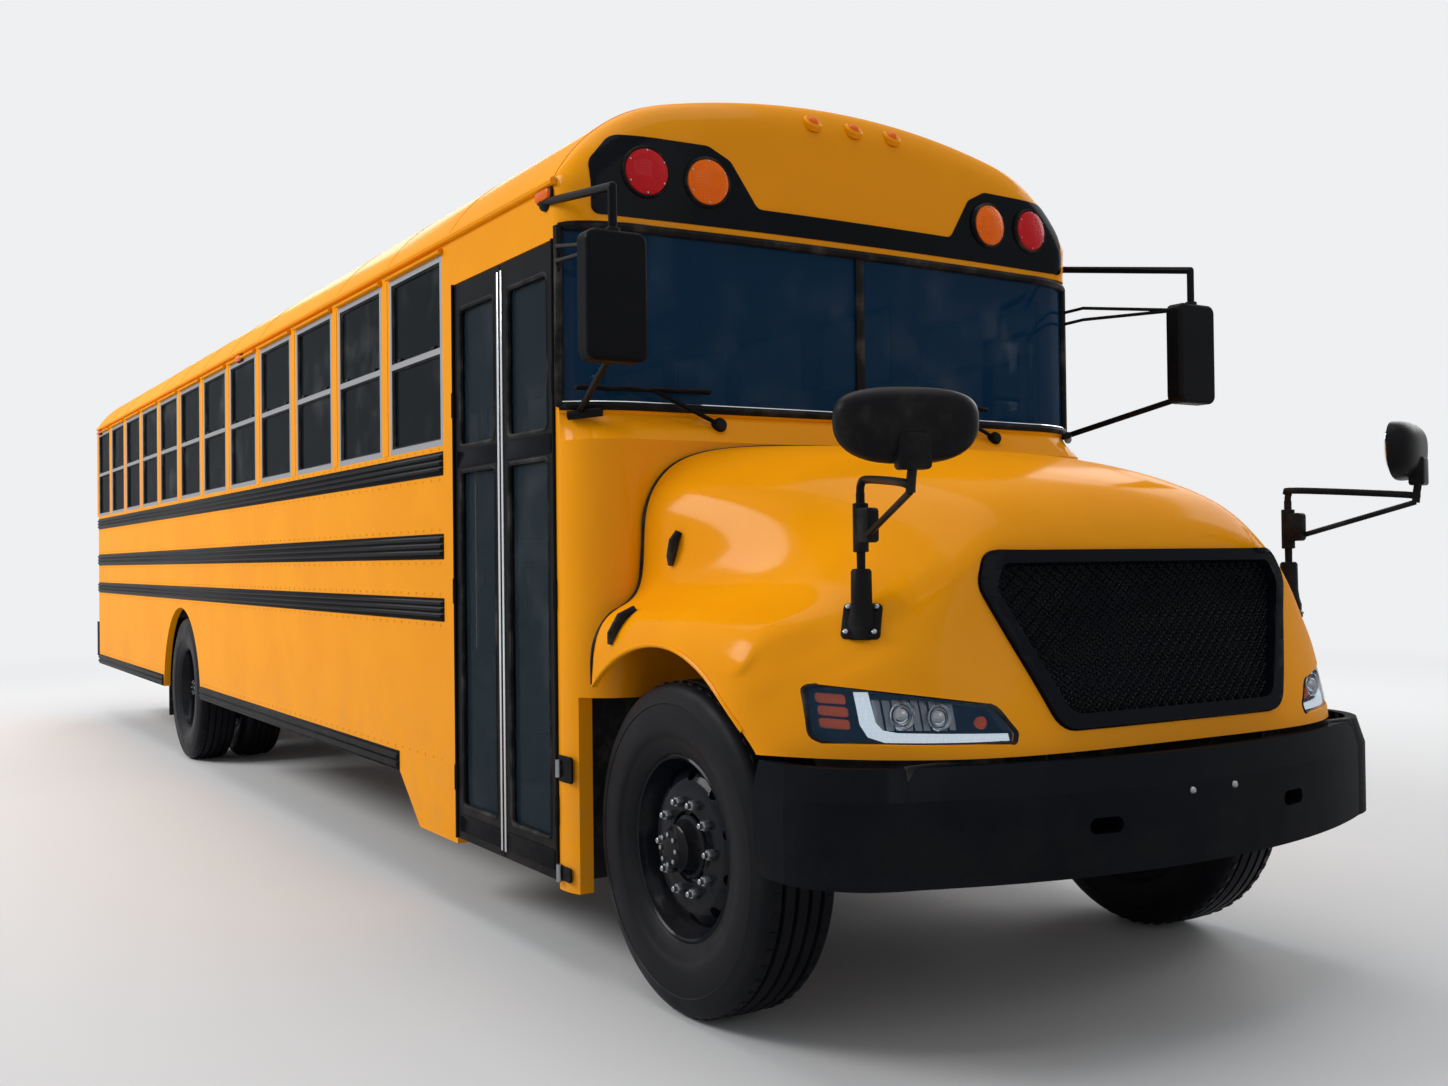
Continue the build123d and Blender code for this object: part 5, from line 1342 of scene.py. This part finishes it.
def inside(y, z, outline):
    """Whether a point lies within a closed outline."""
    within = False
    for (y0, z0), (y1, z1) in zip(outline, outline[1:] + outline[:1]):
        if (z0 > z) != (z1 > z) and y < y0 + (z - z0) / (z1 - z0) * (y1 - y0):
            within = not within
    return within


wire_bound = rounded(scaled(inner_corners, 1.02, 1.03), 0.05, 4)
wire_pitch, wire_step = 0.021, 0.0105
wire_run, wire_rise = 0.62, 0.5
wire_weave, wire_depth = 0.0022, 0.020
for lean in (1, -1):
    for rank in range(-46, 47):
        line = []
        for k in range(-75, 76):
            y = rank * wire_pitch + k * wire_step * wire_run
            z = grille_mid_z + lean * k * wire_step * wire_rise
            if inside(y, z, wire_bound):
                weave = wire_weave * lean * (-1) ** (k + rank)
                line.append(nose_point(y, z, weave - wire_depth))
        if len(line) > 2:
            grille.append(tube(line, 0.0030, black_gloss, sides=4))
joined("nose_grille", grille, "hood", replaces=("grille",))

# Headlamps: black housing, light strip, projectors, indicator and a clear lens

projectors = ((0.905, 0.995, 0.036, chrome), (0.815, 0.99, 0.034, chrome), (0.705, 0.972, 0.016, amber_lens))
bowl_shares = ((0.0, 0.5), (0.012, 0.98), (0.024, 1.12), (0.026, 1.05), (0.018, 0.86))
dome_shares = ((0.008, 0.84), (0.022, 0.72), (0.032, 0.45), (0.036, 0))
strip_path = [
    (0.992, 1.052), (0.963, 1.052), (0.958, 0.972), (0.945, 0.951), (0.915, 0.944), (0.632, 0.936),
    (0.630, 0.916), (0.945, 0.918), (0.978, 0.932), (0.990, 0.965),
]
headlamps = []
for side in (1, -1):
    outline = lamp_outline(side, -0.003)
    headlamps.append(draped(outline, nose_point, -0.060, 0.005, black_gloss, spacing=0.04))
    rim_line = [nose_point(y, z, -0.004) for y, z in outline[::2]]
    headlamps.append(tube(rim_line, 0.007, seal, closed=True, sides=6))
    for y, z, radius, finish in projectors:
        place, normal = skin_ray(hood_skin, (6.6, side * y, z), (-1, 0, 0), -0.046)
        ahead = Vector((1, 0, 0)) * 0.75 + normal * 0.25
        glass = amber_lens if finish is amber_lens else mirror_glass
        for shares, look in ((bowl_shares, finish), (dome_shares, glass)):
            profile = [(along, radius * share) for along, share in shares]
            headlamps.append(turned(profile, place, ahead, look, steps=28))
    for k in range(9):
        y = 0.775 + 0.022 * k
        facet = [(side * a, b) for a, b in box(y - 0.009, y + 0.009, 0.952, 1.036)]
        headlamps.append(draped(facet, nose_point, -0.040 - 0.006 * (k % 2), 0.006, bright))
    headlamps.append(draped([(side * y, z) for y, z in strip_path], nose_point, -0.012, 0.016, white_lens))
    for k in range(3):
        z = 0.952 + 0.034 * k
        corners = [(1.012, z), (1.066, z + 0.004), (1.066, z + 0.030), (1.012, z + 0.026)]
        indicator = rounded([(side * a, b) for a, b in corners], 0.006, 2)
        headlamps.append(draped(indicator, nose_point, -0.022 - 0.006 * (k % 2), 0.014, amber_lens))
    headlamps.append(draped(outline, nose_point, -0.003, 0.003, clear_lens, spacing=0.03))
joined("nose_headlamps", headlamps, "hood", replaces=("headlamps",))

# Hood catches, arch lips and the rear seal

catch_run = ((-0.058, 0.004), (-0.03, 0.012), (0.02, 0.015), (0.052, 0.006))
arch_top_z = tyre_radius + math.sqrt(arch_radius**2 - (front_axle_x - hood_rear_x) ** 2)
catches = []
for side in (1, -1):
    for x, z in ((4.80, 1.455), (4.745, 1.20)):
        path = [side_point(x + 0.25 * along, z + along, side, out) for along, out in catch_run]
        catches.append(tube(path, [0.010, 0.016, 0.018, 0.012], seal, sides=12))
    arch_line = []
    for k in range(41):
        a = math.radians(8 + 164 * k / 40)
        x, z = front_axle_x + arch_radius * math.cos(a), tyre_radius + arch_radius * math.sin(a)
        if z > 0.90 and hood_rear_x + 0.01 < x < 5.60:
            arch_line.append(side_point(x, z, side, -0.002))
    catches.append(tube(arch_line, 0.008, paint, sides=8))
    rear_line = [(hood_rear_x + 0.001, side * y, z - 0.004) for y, z in hood_stations[0][1]]
    rear_line.append((hood_rear_x + 0.001, side * 1.196, arch_top_z + 0.008))
    catches.append(tube(rear_line, 0.0075, seal, sides=6, smooth_path=True))
joined("hood_catches", catches, "hood")

# Cross-view mirrors on the hood

egg_x, egg_y, egg_z = 6.078, 1.045, 1.753
egg_yaw = math.radians(22)


def egg_place(side, along, across, height):
    """A point of a cross-view mirror: along its outward face, across it and up."""
    x = egg_x + along * math.cos(egg_yaw) - side * across * math.sin(egg_yaw)
    y = side * egg_y + side * along * math.sin(egg_yaw) + across * math.cos(egg_yaw)
    return (x, y, egg_z + height)


def egg_shell(side, steps=44):
    """Wide mirror shell, flatter on top, open at the back, with its convex glass."""

    def ring(along, wide, high):
        row = []
        for s in range(steps):
            c, d = math.cos(2 * math.pi * s / steps), math.sin(2 * math.pi * s / steps)
            across = wide * math.copysign(abs(c) ** 0.72, c)
            height = (high * 0.86 * abs(d) ** 0.6) if d > 0 else -high * abs(d) ** 0.9
            row.append(egg_place(side, along, across, height))
        return row

    outer, inner, glass = [], [], []
    for r in range(13):
        along, wide = math.cos(math.pi / 2 * r / 12), math.sin(math.pi / 2 * r / 12)
        outer.append(ring(0.078 * along**0.8 - 0.016, 0.19 * wide**0.7, 0.104 * wide**0.7))
        inner.append(ring(0.070 * along**0.8 - 0.016, 0.183 * wide**0.7, 0.097 * wide**0.7))
        glass.append(ring(-0.014 - 0.030 * along, 0.178 * wide, 0.093 * wide))
    skins = ((outer + inner[::-1], mirror_shell), (glass[::2], mirror_glass))
    return [facing_out(sheet(rows, finish, closed=True)) for rows, finish in skins]


foot_x, foot_y = front_axle_x + 0.7, 0.925
column = [
    (-0.05, 0.040), (0.0, 0.040), (0.02, 0.034), (0.05, 0.030), (0.138, 0.029), (0.145, 0.024),
    (0.146, 0.012), (0.19, 0.0125), (0.192, 0.022), (0.325, 0.022), (0.328, 0.0125), (0.355, 0.0125),
    (0.355, 0),
]
foot_bolt = [(0, 0.008), (0.007, 0.008), (0.009, 0.005), (0.009, 0)]
mirrors = []
for side in (1, -1):
    foot, normal = skin_ray(hood_skin, (foot_x, side * foot_y, 2.2), (0, 0, -1))
    across = normal.cross(Vector((0, 0, 1))).normalized()
    down = normal.cross(across)
    plate = slab(oblong(0, 0, 0.055, 0.055, 0.014), -0.012, 0.009, mirror_shell, "Z", bevel=0.005)
    mirrors.append(moved(plate, lambda x, y, z: foot + across * x + down * y + normal * z))
    for a, b in ((1, 1), (1, -1), (-1, 1), (-1, -1)):
        place = foot + across * 0.040 * a + down * 0.040 * b + normal * 0.008
        mirrors.append(turned(foot_bolt, place, normal, nut_steel, steps=6))
    mirrors.append(turned(column, foot, (0, 0, 1), mirror_shell, steps=24))
    top = foot + Vector((0, 0, 0.35))
    hand = Vector(egg_place(side, 0.045, 0, -0.100))
    joint = hand - Vector((0.012, 0, 0.062))
    shift = [Vector((x, 0, z)) for x, z in ((0.004, 0.028), (0.03, 0.040), (-0.04, 0.012))]
    arm = [top, top + shift[0], top + shift[1], joint + shift[2], joint]
    riser = [joint - Vector((0, 0, 0.016)), joint + Vector((0.004, 0, 0.02)), hand]
    brace = [top + Vector((0.01, 0, -0.125)), joint - Vector((0, 0, 0.014))]
    mirrors.append(tube(arm, 0.0115, mirror_shell, smooth_path=True))
    mirrors.append(tube(riser, 0.0125, mirror_shell))
    mirrors.append(tube(brace, 0.009, mirror_shell, sides=8))
    clamp = oblong(top.x + 0.028, top.z - 0.085, 0.030, 0.048, 0.012)
    mirrors.append(slab(clamp, side * 0.905, side * 0.945, mirror_shell, "Y", bevel=0.004))
    corners = rounded([(-0.044, -0.122), (0.044, -0.122), (0.040, -0.030), (-0.040, -0.030)], 0.012)
    bracket = slab(corners, 0.020, 0.068, mirror_shell, bevel=0.006)
    mirrors.append(moved(bracket, lambda x, y, z: egg_place(side, x, y, z)))
    mirrors += egg_shell(side)
joined("cross_view_mirrors", mirrors, "hood", replaces=("hood_mirrors",))

# Side mirrors: flat and wide-angle glasses on the back of each head, arm clamps and stays

glasses = []
for side in (1, -1):
    mid_x, mid_y = front_axle_x - 0.02, side * (side_y + 0.105)
    face_x = mid_x - 0.035
    for low, high in ((2.15, 2.405), (2.035, 2.135)):
        outline = rounded(box(mid_y - 0.092, mid_y + 0.092, low, high), 0.02)
        glasses.append(slab(outline, face_x - 0.005, face_x + 0.001, mirror_glass, bevel=0.001))
    clamp = [(-0.02, 0.021), (-0.018, 0.024), (0.018, 0.024), (0.02, 0.021)]
    for z in (2.412, 2.087):
        glasses.append(turned(clamp, (mid_x, mid_y, z), (0, 0, 1), mirror_shell, steps=20))
    arm_foot = [(-0.002, 0.034), (0.008, 0.034), (0.014, 0.024), (0.014, 0)]
    foot = (door_front_x - 0.06, side * side_y, eave_z - 0.07)
    glasses.append(turned(arm_foot, foot, (0.2, side, 0), mirror_shell, steps=24))
joined("side_mirror_glasses", glasses)


def door_post(side, ahead, inward, z):
    """A point beside the top of the front door post."""
    return (door_front_x + ahead, side * (side_y - inward), z)


for side, hand in hands:
    head = (front_axle_x - 0.045, side * (side_y + 0.06), 2.40)
    stays = []
    for z in (2.47, 2.42):
        line = [door_post(side, 0.03, 0.004, z), door_post(side, 0.12, -0.045, z + 0.015), head]
        stays.append(tube(line, 0.007, mirror_shell, sides=8))
    foot_line = [door_post(side, 0.075, 0.012, 1.915), door_post(side, 0.16, 0.10, 1.925)]
    stays.append(tube(foot_line, 0.016, mirror_shell))
    joined(f"side_mirror_stays_{hand}", stays)

# Cowl recesses and wiper covers

cowl_lean = (4.5245 - cowl_x) / (screen_base_z - cowl_low_z)


def cowl_point(y, z, out):
    """A point on the leaning front of the cowl."""
    return (cowl_x + cowl_lean * (z - cowl_low_z) + out, y, z)


cap_profile = [(-0.03, 0.026), (0.0, 0.026), (0.010, 0.020), (0.013, 0)]
blade_length = 0.53
cowl = []
for side in (1, -1):
    recess = oblong(side * 0.77, 1.849, 0.068, 0.021, 0.012)
    cowl.append(tube([cowl_point(y, z, 0.002) for y, z in recess], 0.004, paint, closed=True, sides=6))
    for k in range(5):
        line = [cowl_point(side * 0.77 + y, 1.835 + 0.007 * k, 0.0015) for y in (-0.058, 0.058)]
        cowl.append(tube(line, 0.0022, plastic, sides=5))
    wiper_y = side * 0.656
    cowl.append(turned(cap_profile, (4.5645, wiper_y, 1.895), (1, 0, 0.2), mirror_shell, steps=24))
    blade = [(4.549, wiper_y - 0.03 - k * blade_length / 8, 2.012 - k * 0.0012) for k in range(9)]
    cowl.append(tube([(x - 0.012, y, z + 0.001) for x, y, z in blade], 0.0055, seal, sides=6))
    for k in (1, 3, 5, 7):
        x, y, z = blade[k]
        yoke = [blade[k - 1], (x + 0.010, y, z + 0.004), blade[k + 1]]
        cowl.append(tube(yoke, 0.0045, mirror_shell, sides=6))
joined("cowl_details", cowl)

# Door keeper and lower hinge

keepers = []
for z, half_wide, half_high in ((0.70, 0.055, 0.045), (0.34, 0.040, 0.025)):
    outline = oblong(door_front_x + 0.055, z, half_wide, half_high, 0.010)
    keepers.append(slab(outline, -side_y - 0.006, -side_y + 0.002, black_satin, "Y"))
    ends = [(door_front_x + 0.02, -side_y - 0.012, z + rise) for rise in (-0.03, 0.03)]
    keepers.append(tube(ends, 0.010, nut_steel, sides=12))
joined("door_keepers", keepers)

# Tail lamps, rear windows, rear wall plates and the rear door's trim

rear_lamps = []
for side in (1, -1):
    for z, finish in ((1.18, reverse_lens), (1.39, amber_lens), (1.60, red_lens)):
        rear_lamps += round_lamp((body_rear_x - 0.002, side, z), (-1, 0, 0), 0.088, finish)
joined("tail_lamp_set", rear_lamps, replaces=("tail_lamps",))


def rear_plate(outline, out, sunk, finish, bevel=0.002):
    """A flat plate on the rear wall."""
    return slab(outline, body_rear_x - out, body_rear_x + sunk, finish, bevel=bevel)


def rear_hoop(outline, radius, sides):
    """A gasket on the rear wall."""
    return hoop(outline, body_rear_x - 0.001, "X", radius, seal, sides)


rear_wall = []
for side in (1, -1):
    rear_wall.append(rear_hoop(oblong(side * 0.76, 2.16, 0.21, 0.28, 0.05), 0.013, 8))
    for z in (0.95, 1.05):
        rear_wall.append(rear_plate(oblong(side, z, 0.055, 0.02, 0.01), 0.009, 0, red_lens, bevel=0.003))
    rear_wall.append(rear_plate(oblong(side * 0.78, 2.755, 0.30, 0.13, 0.06), 0.004, 0.001, black_gloss))
rear_wall.append(rear_plate(oblong(-0.72, 1.02, 0.165, 0.085, 0.01), 0.008, 0, black_satin))
rear_wall.append(rear_plate(oblong(-0.72, 1.02, 0.152, 0.076, 0.012), 0.011, -0.007, sign_white, bevel=0.001))
for y in (-0.57, -0.87):
    bolt_place = (body_rear_x - 0.011, y, 1.075)
    bolt_head = [(0, 0.006), (0.003, 0.005), (0.004, 0)]
    rear_wall.append(turned(bolt_head, bolt_place, (-1, 0, 0), nut_steel, steps=8))
joined("rear_wall_details", rear_wall)

rear_leaf = [rear_hoop(oblong(0, 1.47, 0.344, 0.23, 0.035), 0.012, 8)]
rear_leaf.append(rear_hoop(oblong(0, 2.085, 0.344, 0.245, 0.035), 0.012, 8))
rear_leaf.append(rear_hoop(oblong(0, 1.74, 0.449, 0.668, 0.012, 3), 0.006, 6))
rear_leaf.append(rear_plate(oblong(0.36, 1.77, 0.05, 0.03, 0.008), 0.006, 0.001, black_satin))
handle = [(0.004, 0.36, 1.77), (0.040, 0.36, 1.77), (0.044, 0.34, 1.765), (0.044, 0.22, 1.745)]
rear_leaf.append(tube([(body_rear_x - out, y, z) for out, y, z in handle], 0.010, chrome, smooth_path=True))
for z in (1.20, 1.77, 2.25):
    ends = [(body_rear_x - 0.006, -0.45, z + rise) for rise in (-0.05, 0.05)]
    rear_leaf.append(tube(ends, 0.012, black_satin, sides=12))
    rear_leaf.append(rear_plate(oblong(-0.405, z, 0.04, 0.035, 0.006), 0.004, 0.001, black_satin))
joined("rear_door_trim", rear_leaf, "rear_door")

# Roof hatches: raised lid panel, seal and hinges

for tag, x in hatch_places:
    lid = [slab(oblong(x, 0, 0.27, 0.27, 0.06), 3.2045, 3.2115, paint, "Z", bevel=0.004)]
    lid.append(slab(oblong(x, 0, 0.15, 0.15, 0.04), 3.2105, 3.216, paint, "Z", bevel=0.004))
    lid.append(hoop(oblong(x, 0, 0.331, 0.331, 0.02), 3.1815, "Z", 0.005, seal, 6))
    for y in (-0.2, 0.2):
        lid.append(tube([(x + 0.333, y + shift, 3.189) for shift in (-0.05, 0.05)], 0.008, black_satin))
    joined(f"roof_hatch_{tag}_details", lid, f"roof_hatch_{tag}")

# Stop arm: white edge and lamps, without any word

plate_x, plate_z, plate_y = 3.0109, 1.65, side_y + 0.027
edge_radius = 0.236
arm_pin_x = 3.3495
angles = [math.pi / 8 + k * math.pi / 4 for k in range(8)]
octagon = [(plate_x + edge_radius * math.cos(a), plate_z + edge_radius * math.sin(a)) for a in angles]
stop_arm = []
for out in (1, -1):
    face = plate_y + out * 0.005
    stop_arm.append(hoop(octagon, face + out * 0.0004, "Y", 0.0055, sign_white, 6))
    for rise in (0.165, -0.165):
        stop_arm += round_lamp((plate_x, face + out * 0.001, plate_z + rise), (0, out, 0), 0.042, red_lens)
stop_arm.append(tube([(arm_pin_x, plate_y, z) for z in (1.60, 1.61)], 0.018, black_satin, sides=16))
joined("stop_arm_lamps", stop_arm, "stop_arm")

# Bumper: filler below the grille and plate bolts

bumper = [slab(oblong(0, 0.822, 0.95, 0.043, 0.01), 5.925, 5.945, rubber)]
for y in (-0.089, 0.089):
    face, _ = skin_ray(frame["nodes"]["front_bumper"], (6.6, y, 0.762), (-1, 0, 0))
    bolt = [(0, 0.011), (0.004, 0.010), (0.008, 0.006), (0.008, 0)]
    bumper.append(turned(bolt, (face.x, y, 0.75), (1, 0, 0), nut_steel, steps=12))
joined("bumper_bolts", bumper)

# Padded benches and driver's seat


def padded_form(outline, low_y, high_y, voxel, cap):
    """A pad from a slightly smaller prism: remeshed, inflated as cloth, each move capped."""
    blank = prism(outline, low_y, high_y, "Y")
    add_modifier(blank, "REMESH", mode="VOXEL", voxel_size=voxel)
    settle(blank)
    add_modifier(blank, "SMOOTH", factor=0.5, iterations=5)
    settle(blank)
    rest = [v.co.copy() for v in blank.data.vertices]
    cloth = add_modifier(blank, "CLOTH")
    cloth.settings.use_pressure = True
    cloth.settings.uniform_pressure_force = 4.0
    cloth.settings.effector_weights.gravity = 0.0
    for step in range(1, 21):
        bpy.context.scene.frame_set(step)
    settle(blank)
    bpy.context.scene.frame_set(1)
    for v, start in zip(blank.data.vertices, rest):
        move = v.co - start
        if move.length > cap:
            v.co = start + move * (cap / move.length)
    return blank


def piping(pad, outline, y):
    """A sewn cord round a pad at one width, laid on its surface."""
    corners = [Vector(p) for p in outline]
    line = []
    for a, b in zip(corners, corners[1:] + corners[:1]):
        count = max(2, int((b - a).length / 0.05))
        for k in range(count):
            p = a.lerp(b, k / count)
            _, place, normal, _ = pad.closest_point_on_mesh(Vector((p.x, y, p.y)))
            line.append(place + normal * 0.001)
    return tube(line, 0.0042, vinyl, closed=True, sides=5)


def padded(outlines, low_y, high_y, voxel):
    """Pads over one width, each with piping at both sides."""
    made = []
    for outline in outlines:
        pad = padded_form(outline, low_y, high_y, voxel, 0.012)
        made += [piping(pad, outline, y) for y in (low_y + 0.025, high_y - 0.025)]
        made.append(dressed(pad, vinyl))
    return made


cushion_side = [(0.080, 1.403), (0.470, 1.421), (0.470, 1.508), (0.100, 1.494)]
back_side = [(0.012, 1.403), (0.072, 1.403), (0.086, 1.503), (0.000, 1.998), (-0.068, 1.998)]
bench = merged("bench", padded([cushion_side, back_side], -0.483, 0.483, 0.027))
bench_places = [(rear_seam_x + 0.16 + 0.735 * k, side * 0.66485, 0.0) for side in (1, -1) for k in range(12)]
bench_copies = repeated(bench, bench_places, vinyl)
benches = joined("passenger_benches", [bench_copies], replaces=("passenger_seats",))

driver_cushion = [(3.612, 1.402), (4.066, 1.402), (4.066, 1.490), (3.66, 1.500), (3.612, 1.492)]
driver_back = [
    (3.552, 1.50), (3.650, 1.50), (3.648, 1.66), (3.640, 1.95), (3.628, 2.02), (3.632, 2.195), (3.556, 2.195),
]
driver_pads = padded([driver_cushion], 0.282, 0.758, 0.014) + padded([driver_back], 0.292, 0.748, 0.014)
driver = joined("driver_cushions", driver_pads, replaces=("driver_seat",))

driver_x, driver_y = 3.84, 0.52
seat_base = []
for k in range(7):
    grow = 0.012 * (k % 2)
    outline = oblong(driver_x, driver_y, 0.158 + grow, 0.128 + grow, 0.03)
    seat_base.append(slab(outline, 1.06 + 0.046 * k, 1.106 + 0.046 * k, plastic, "Z", bevel=0.008))
seat_base.append(slab(oblong(driver_x, driver_y, 0.21, 0.22, 0.03), 1.382, 1.398, black_satin, "Z"))
seat_base.append(slab(oblong(driver_y, 1.46, 0.16, 0.08, 0.02), 3.57, 3.60, black_satin))
joined("driver_seat_base", seat_base)

# Cabin: gauge panel, switches, vents, steering wheel grip and boss, and the aisle's ribs

panel_z = 1.785
panel = slab(oblong(driver_y, panel_z, 0.24, 0.032, 0.012), 4.418, 4.452, plastic, bevel=0.004)
cabin = [moved(panel, lambda x, y, z: (x + 0.9 * (z - panel_z), y, z))]
gauge = [(0, 0.030), (0.006, 0.030), (0.008, 0.026), (0.004, 0.024), (0.004, 0)]
for y in (0.36, 0.44, 0.52, 0.60, 0.68):
    cabin.append(turned(gauge, (4.425, y, 1.782), (-1, 0, 0.75), chrome, steps=24))
for k in range(8):
    switch = oblong(0.14 - 0.05 * k, 1.66, 0.016, 0.022, 0.004)
    cabin.append(slab(switch, 4.388, 4.400, black_satin, bevel=0.003))
for y in (-0.75, -0.35, 0.9):
    for k in range(4):
        ends = [(4.395, y + half, 1.62 + 0.014 * k) for half in (-0.07, 0.07)]
        cabin.append(tube(ends, 0.003, black_satin, sides=5))
joined("dashboard_details", cabin)

hub = Vector((4.17, driver_y, 1.85))
lean = Vector((-0.5, 0, 0.8660254))
across = Vector((0, 1, 0))
upward = lean.cross(across)
grip_steps, grip_radius = 120, 0.225
turns = [2 * math.pi * k / grip_steps for k in range(grip_steps)]
grip = [hub + (across * math.cos(a) + upward * math.sin(a)) * grip_radius for a in turns]
grip_radii = [0.0158 + 0.0007 * math.cos(50 * a) for a in turns]
horn = turned([(0.030, 0.042), (0.036, 0.040), (0.040, 0.030), (0.041, 0)], hub, lean, black_satin, steps=32)
joined("steering_wheel_grip", [horn, tube(grip, grip_radii, mirror_shell, closed=True)], "steering_wheel")

ribs = []
for k in range(9):
    ribs.append(tube([(x, -0.14 + 0.035 * k, 1.0595) for x in (-5.9, 3.35)], 0.0028, deck, sides=5))
joined("aisle_ribs", ribs)

# Radiator core in the engine bay

fins = []
for k in range(26):
    fins.append(tube([(5.845, y, 0.86 + 0.019 * k) for y in (-0.36, 0.36)], 0.004, bright, sides=4))
joined("radiator_fins", fins)

# Camera, lights, floor and world

eye = Vector((8.847, -3.315, 1.412))
yaw, pitch, roll = (math.radians(a) for a in (31.915, 0.696, -0.652))
ahead = Vector((-math.cos(yaw) * math.cos(pitch), math.sin(yaw) * math.cos(pitch), math.sin(pitch)))
right = ahead.cross(Vector((0, 0, 1))).normalized()
up = right.cross(ahead)
level_right = right * math.cos(roll) + up * math.sin(roll)
level_up = up * math.cos(roll) - right * math.sin(roll)
camera_data = bpy.data.cameras.new("camera")
sensor_mm, focal_px, photo_width_px = 36, 1417, 1448
camera_data.sensor_width = sensor_mm
camera_data.lens = focal_px / photo_width_px * sensor_mm
camera_data.clip_end = 200
camera = bpy.data.objects.new("camera", camera_data)
camera_rows = [[level_right[k], level_up[k], -ahead[k], eye[k]] for k in range(3)]
camera.matrix_world = Matrix([*camera_rows, [0, 0, 0, 1]])
bpy.context.scene.collection.objects.link(camera)
bpy.context.scene.camera = camera

for name, place, target, size, power in (
    ("key", (-5.0, -13.0, 11.0), (0.0, 0, 1.2), (10, 6), 2150),
    ("front_fill", (17.0, 1.0, 8.0), (4.5, 0, 1.5), (8, 6), 130),
    ("top", (0.0, 0.0, 13.0), (0, 0, 1.0), (18, 9), 900),
    ("left_fill", (0.0, 14.0, 8.0), (0, 0, 1.2), (14, 6), 900),
    ("rear_fill", (-17.0, 6.0, 8.0), (-4, 0, 1.5), (8, 6), 750),
):
    lamp = bpy.data.lights.new(name, "AREA")
    lamp.shape = "RECTANGLE"
    lamp.size, lamp.size_y = size
    lamp.energy = power
    light = bpy.data.objects.new(name, lamp)
    light.location = place
    light.rotation_euler = (Vector(target) - Vector(place)).to_track_quat("-Z", "Y").to_euler()
    bpy.context.scene.collection.objects.link(light)


def ray_kinds(shader, *kinds):
    """1 for the rays of these kinds."""
    rays = [shader.node("ShaderNodeLightPath", output=f"Is {kind} Ray") for kind in kinds]
    return sum(rays[1:], rays[0])


# Far from the bus the floor takes the plain colour of the world, for what the camera and its reflections see
far_colour = (0.86, 0.87, 0.88)
floor_grey = (0.62, 0.62, 0.62)
floor = Finish("studio_floor", roughness=0.8)
floor.set("Base Color", floor.mix(floor.noise(0.6, 4.0), floor_grey, tuple(0.96 * c for c in floor_grey)))
distance = floor.node("ShaderNodeVectorMath", {0: floor.place()}, output="Value", operation="LENGTH")
far = (distance.step(7.0, 17.0) * ray_kinds(floor, "Camera", "Glossy")).clamp()
near = Signal(floor, floor.surface.outputs[0])
plain = floor.node("ShaderNodeEmission", {"Color": far_colour})
mixed = floor.node("ShaderNodeMixShader", {0: far, 1: near, 2: plain})
floor.feed(floor.tree.nodes["Material Output"].inputs["Surface"], mixed)

floor_mesh = bpy.data.meshes.new("studio_floor")
floor_mesh.from_pydata([(-60, -60, 0), (60, -60, 0), (60, 60, 0), (-60, 60, 0)], [], [(0, 1, 2, 3)])
floor_mesh.materials.append(floor.material)
form(floor_mesh)

world = bpy.data.worlds.new("studio_world")
bpy.context.scene.world = world
world.use_nodes = True
sky = Shader(world.node_tree)
shown = ray_kinds(sky, "Camera", "Glossy", "Transmission").clamp()
given_light = sky.node("ShaderNodeBackground", {"Color": (0.84, 0.87, 0.91), "Strength": 0.45})
seen = sky.node("ShaderNodeBackground", {"Color": far_colour, "Strength": 1.0})
blend = sky.node("ShaderNodeMixShader", {0: shown, 1: given_light, 2: seen})
sky.feed(sky.tree.nodes["World Output"].inputs["Surface"], blend)
bpy.context.scene.view_settings.view_transform = "Standard"

drop(hood_skin, header_form)
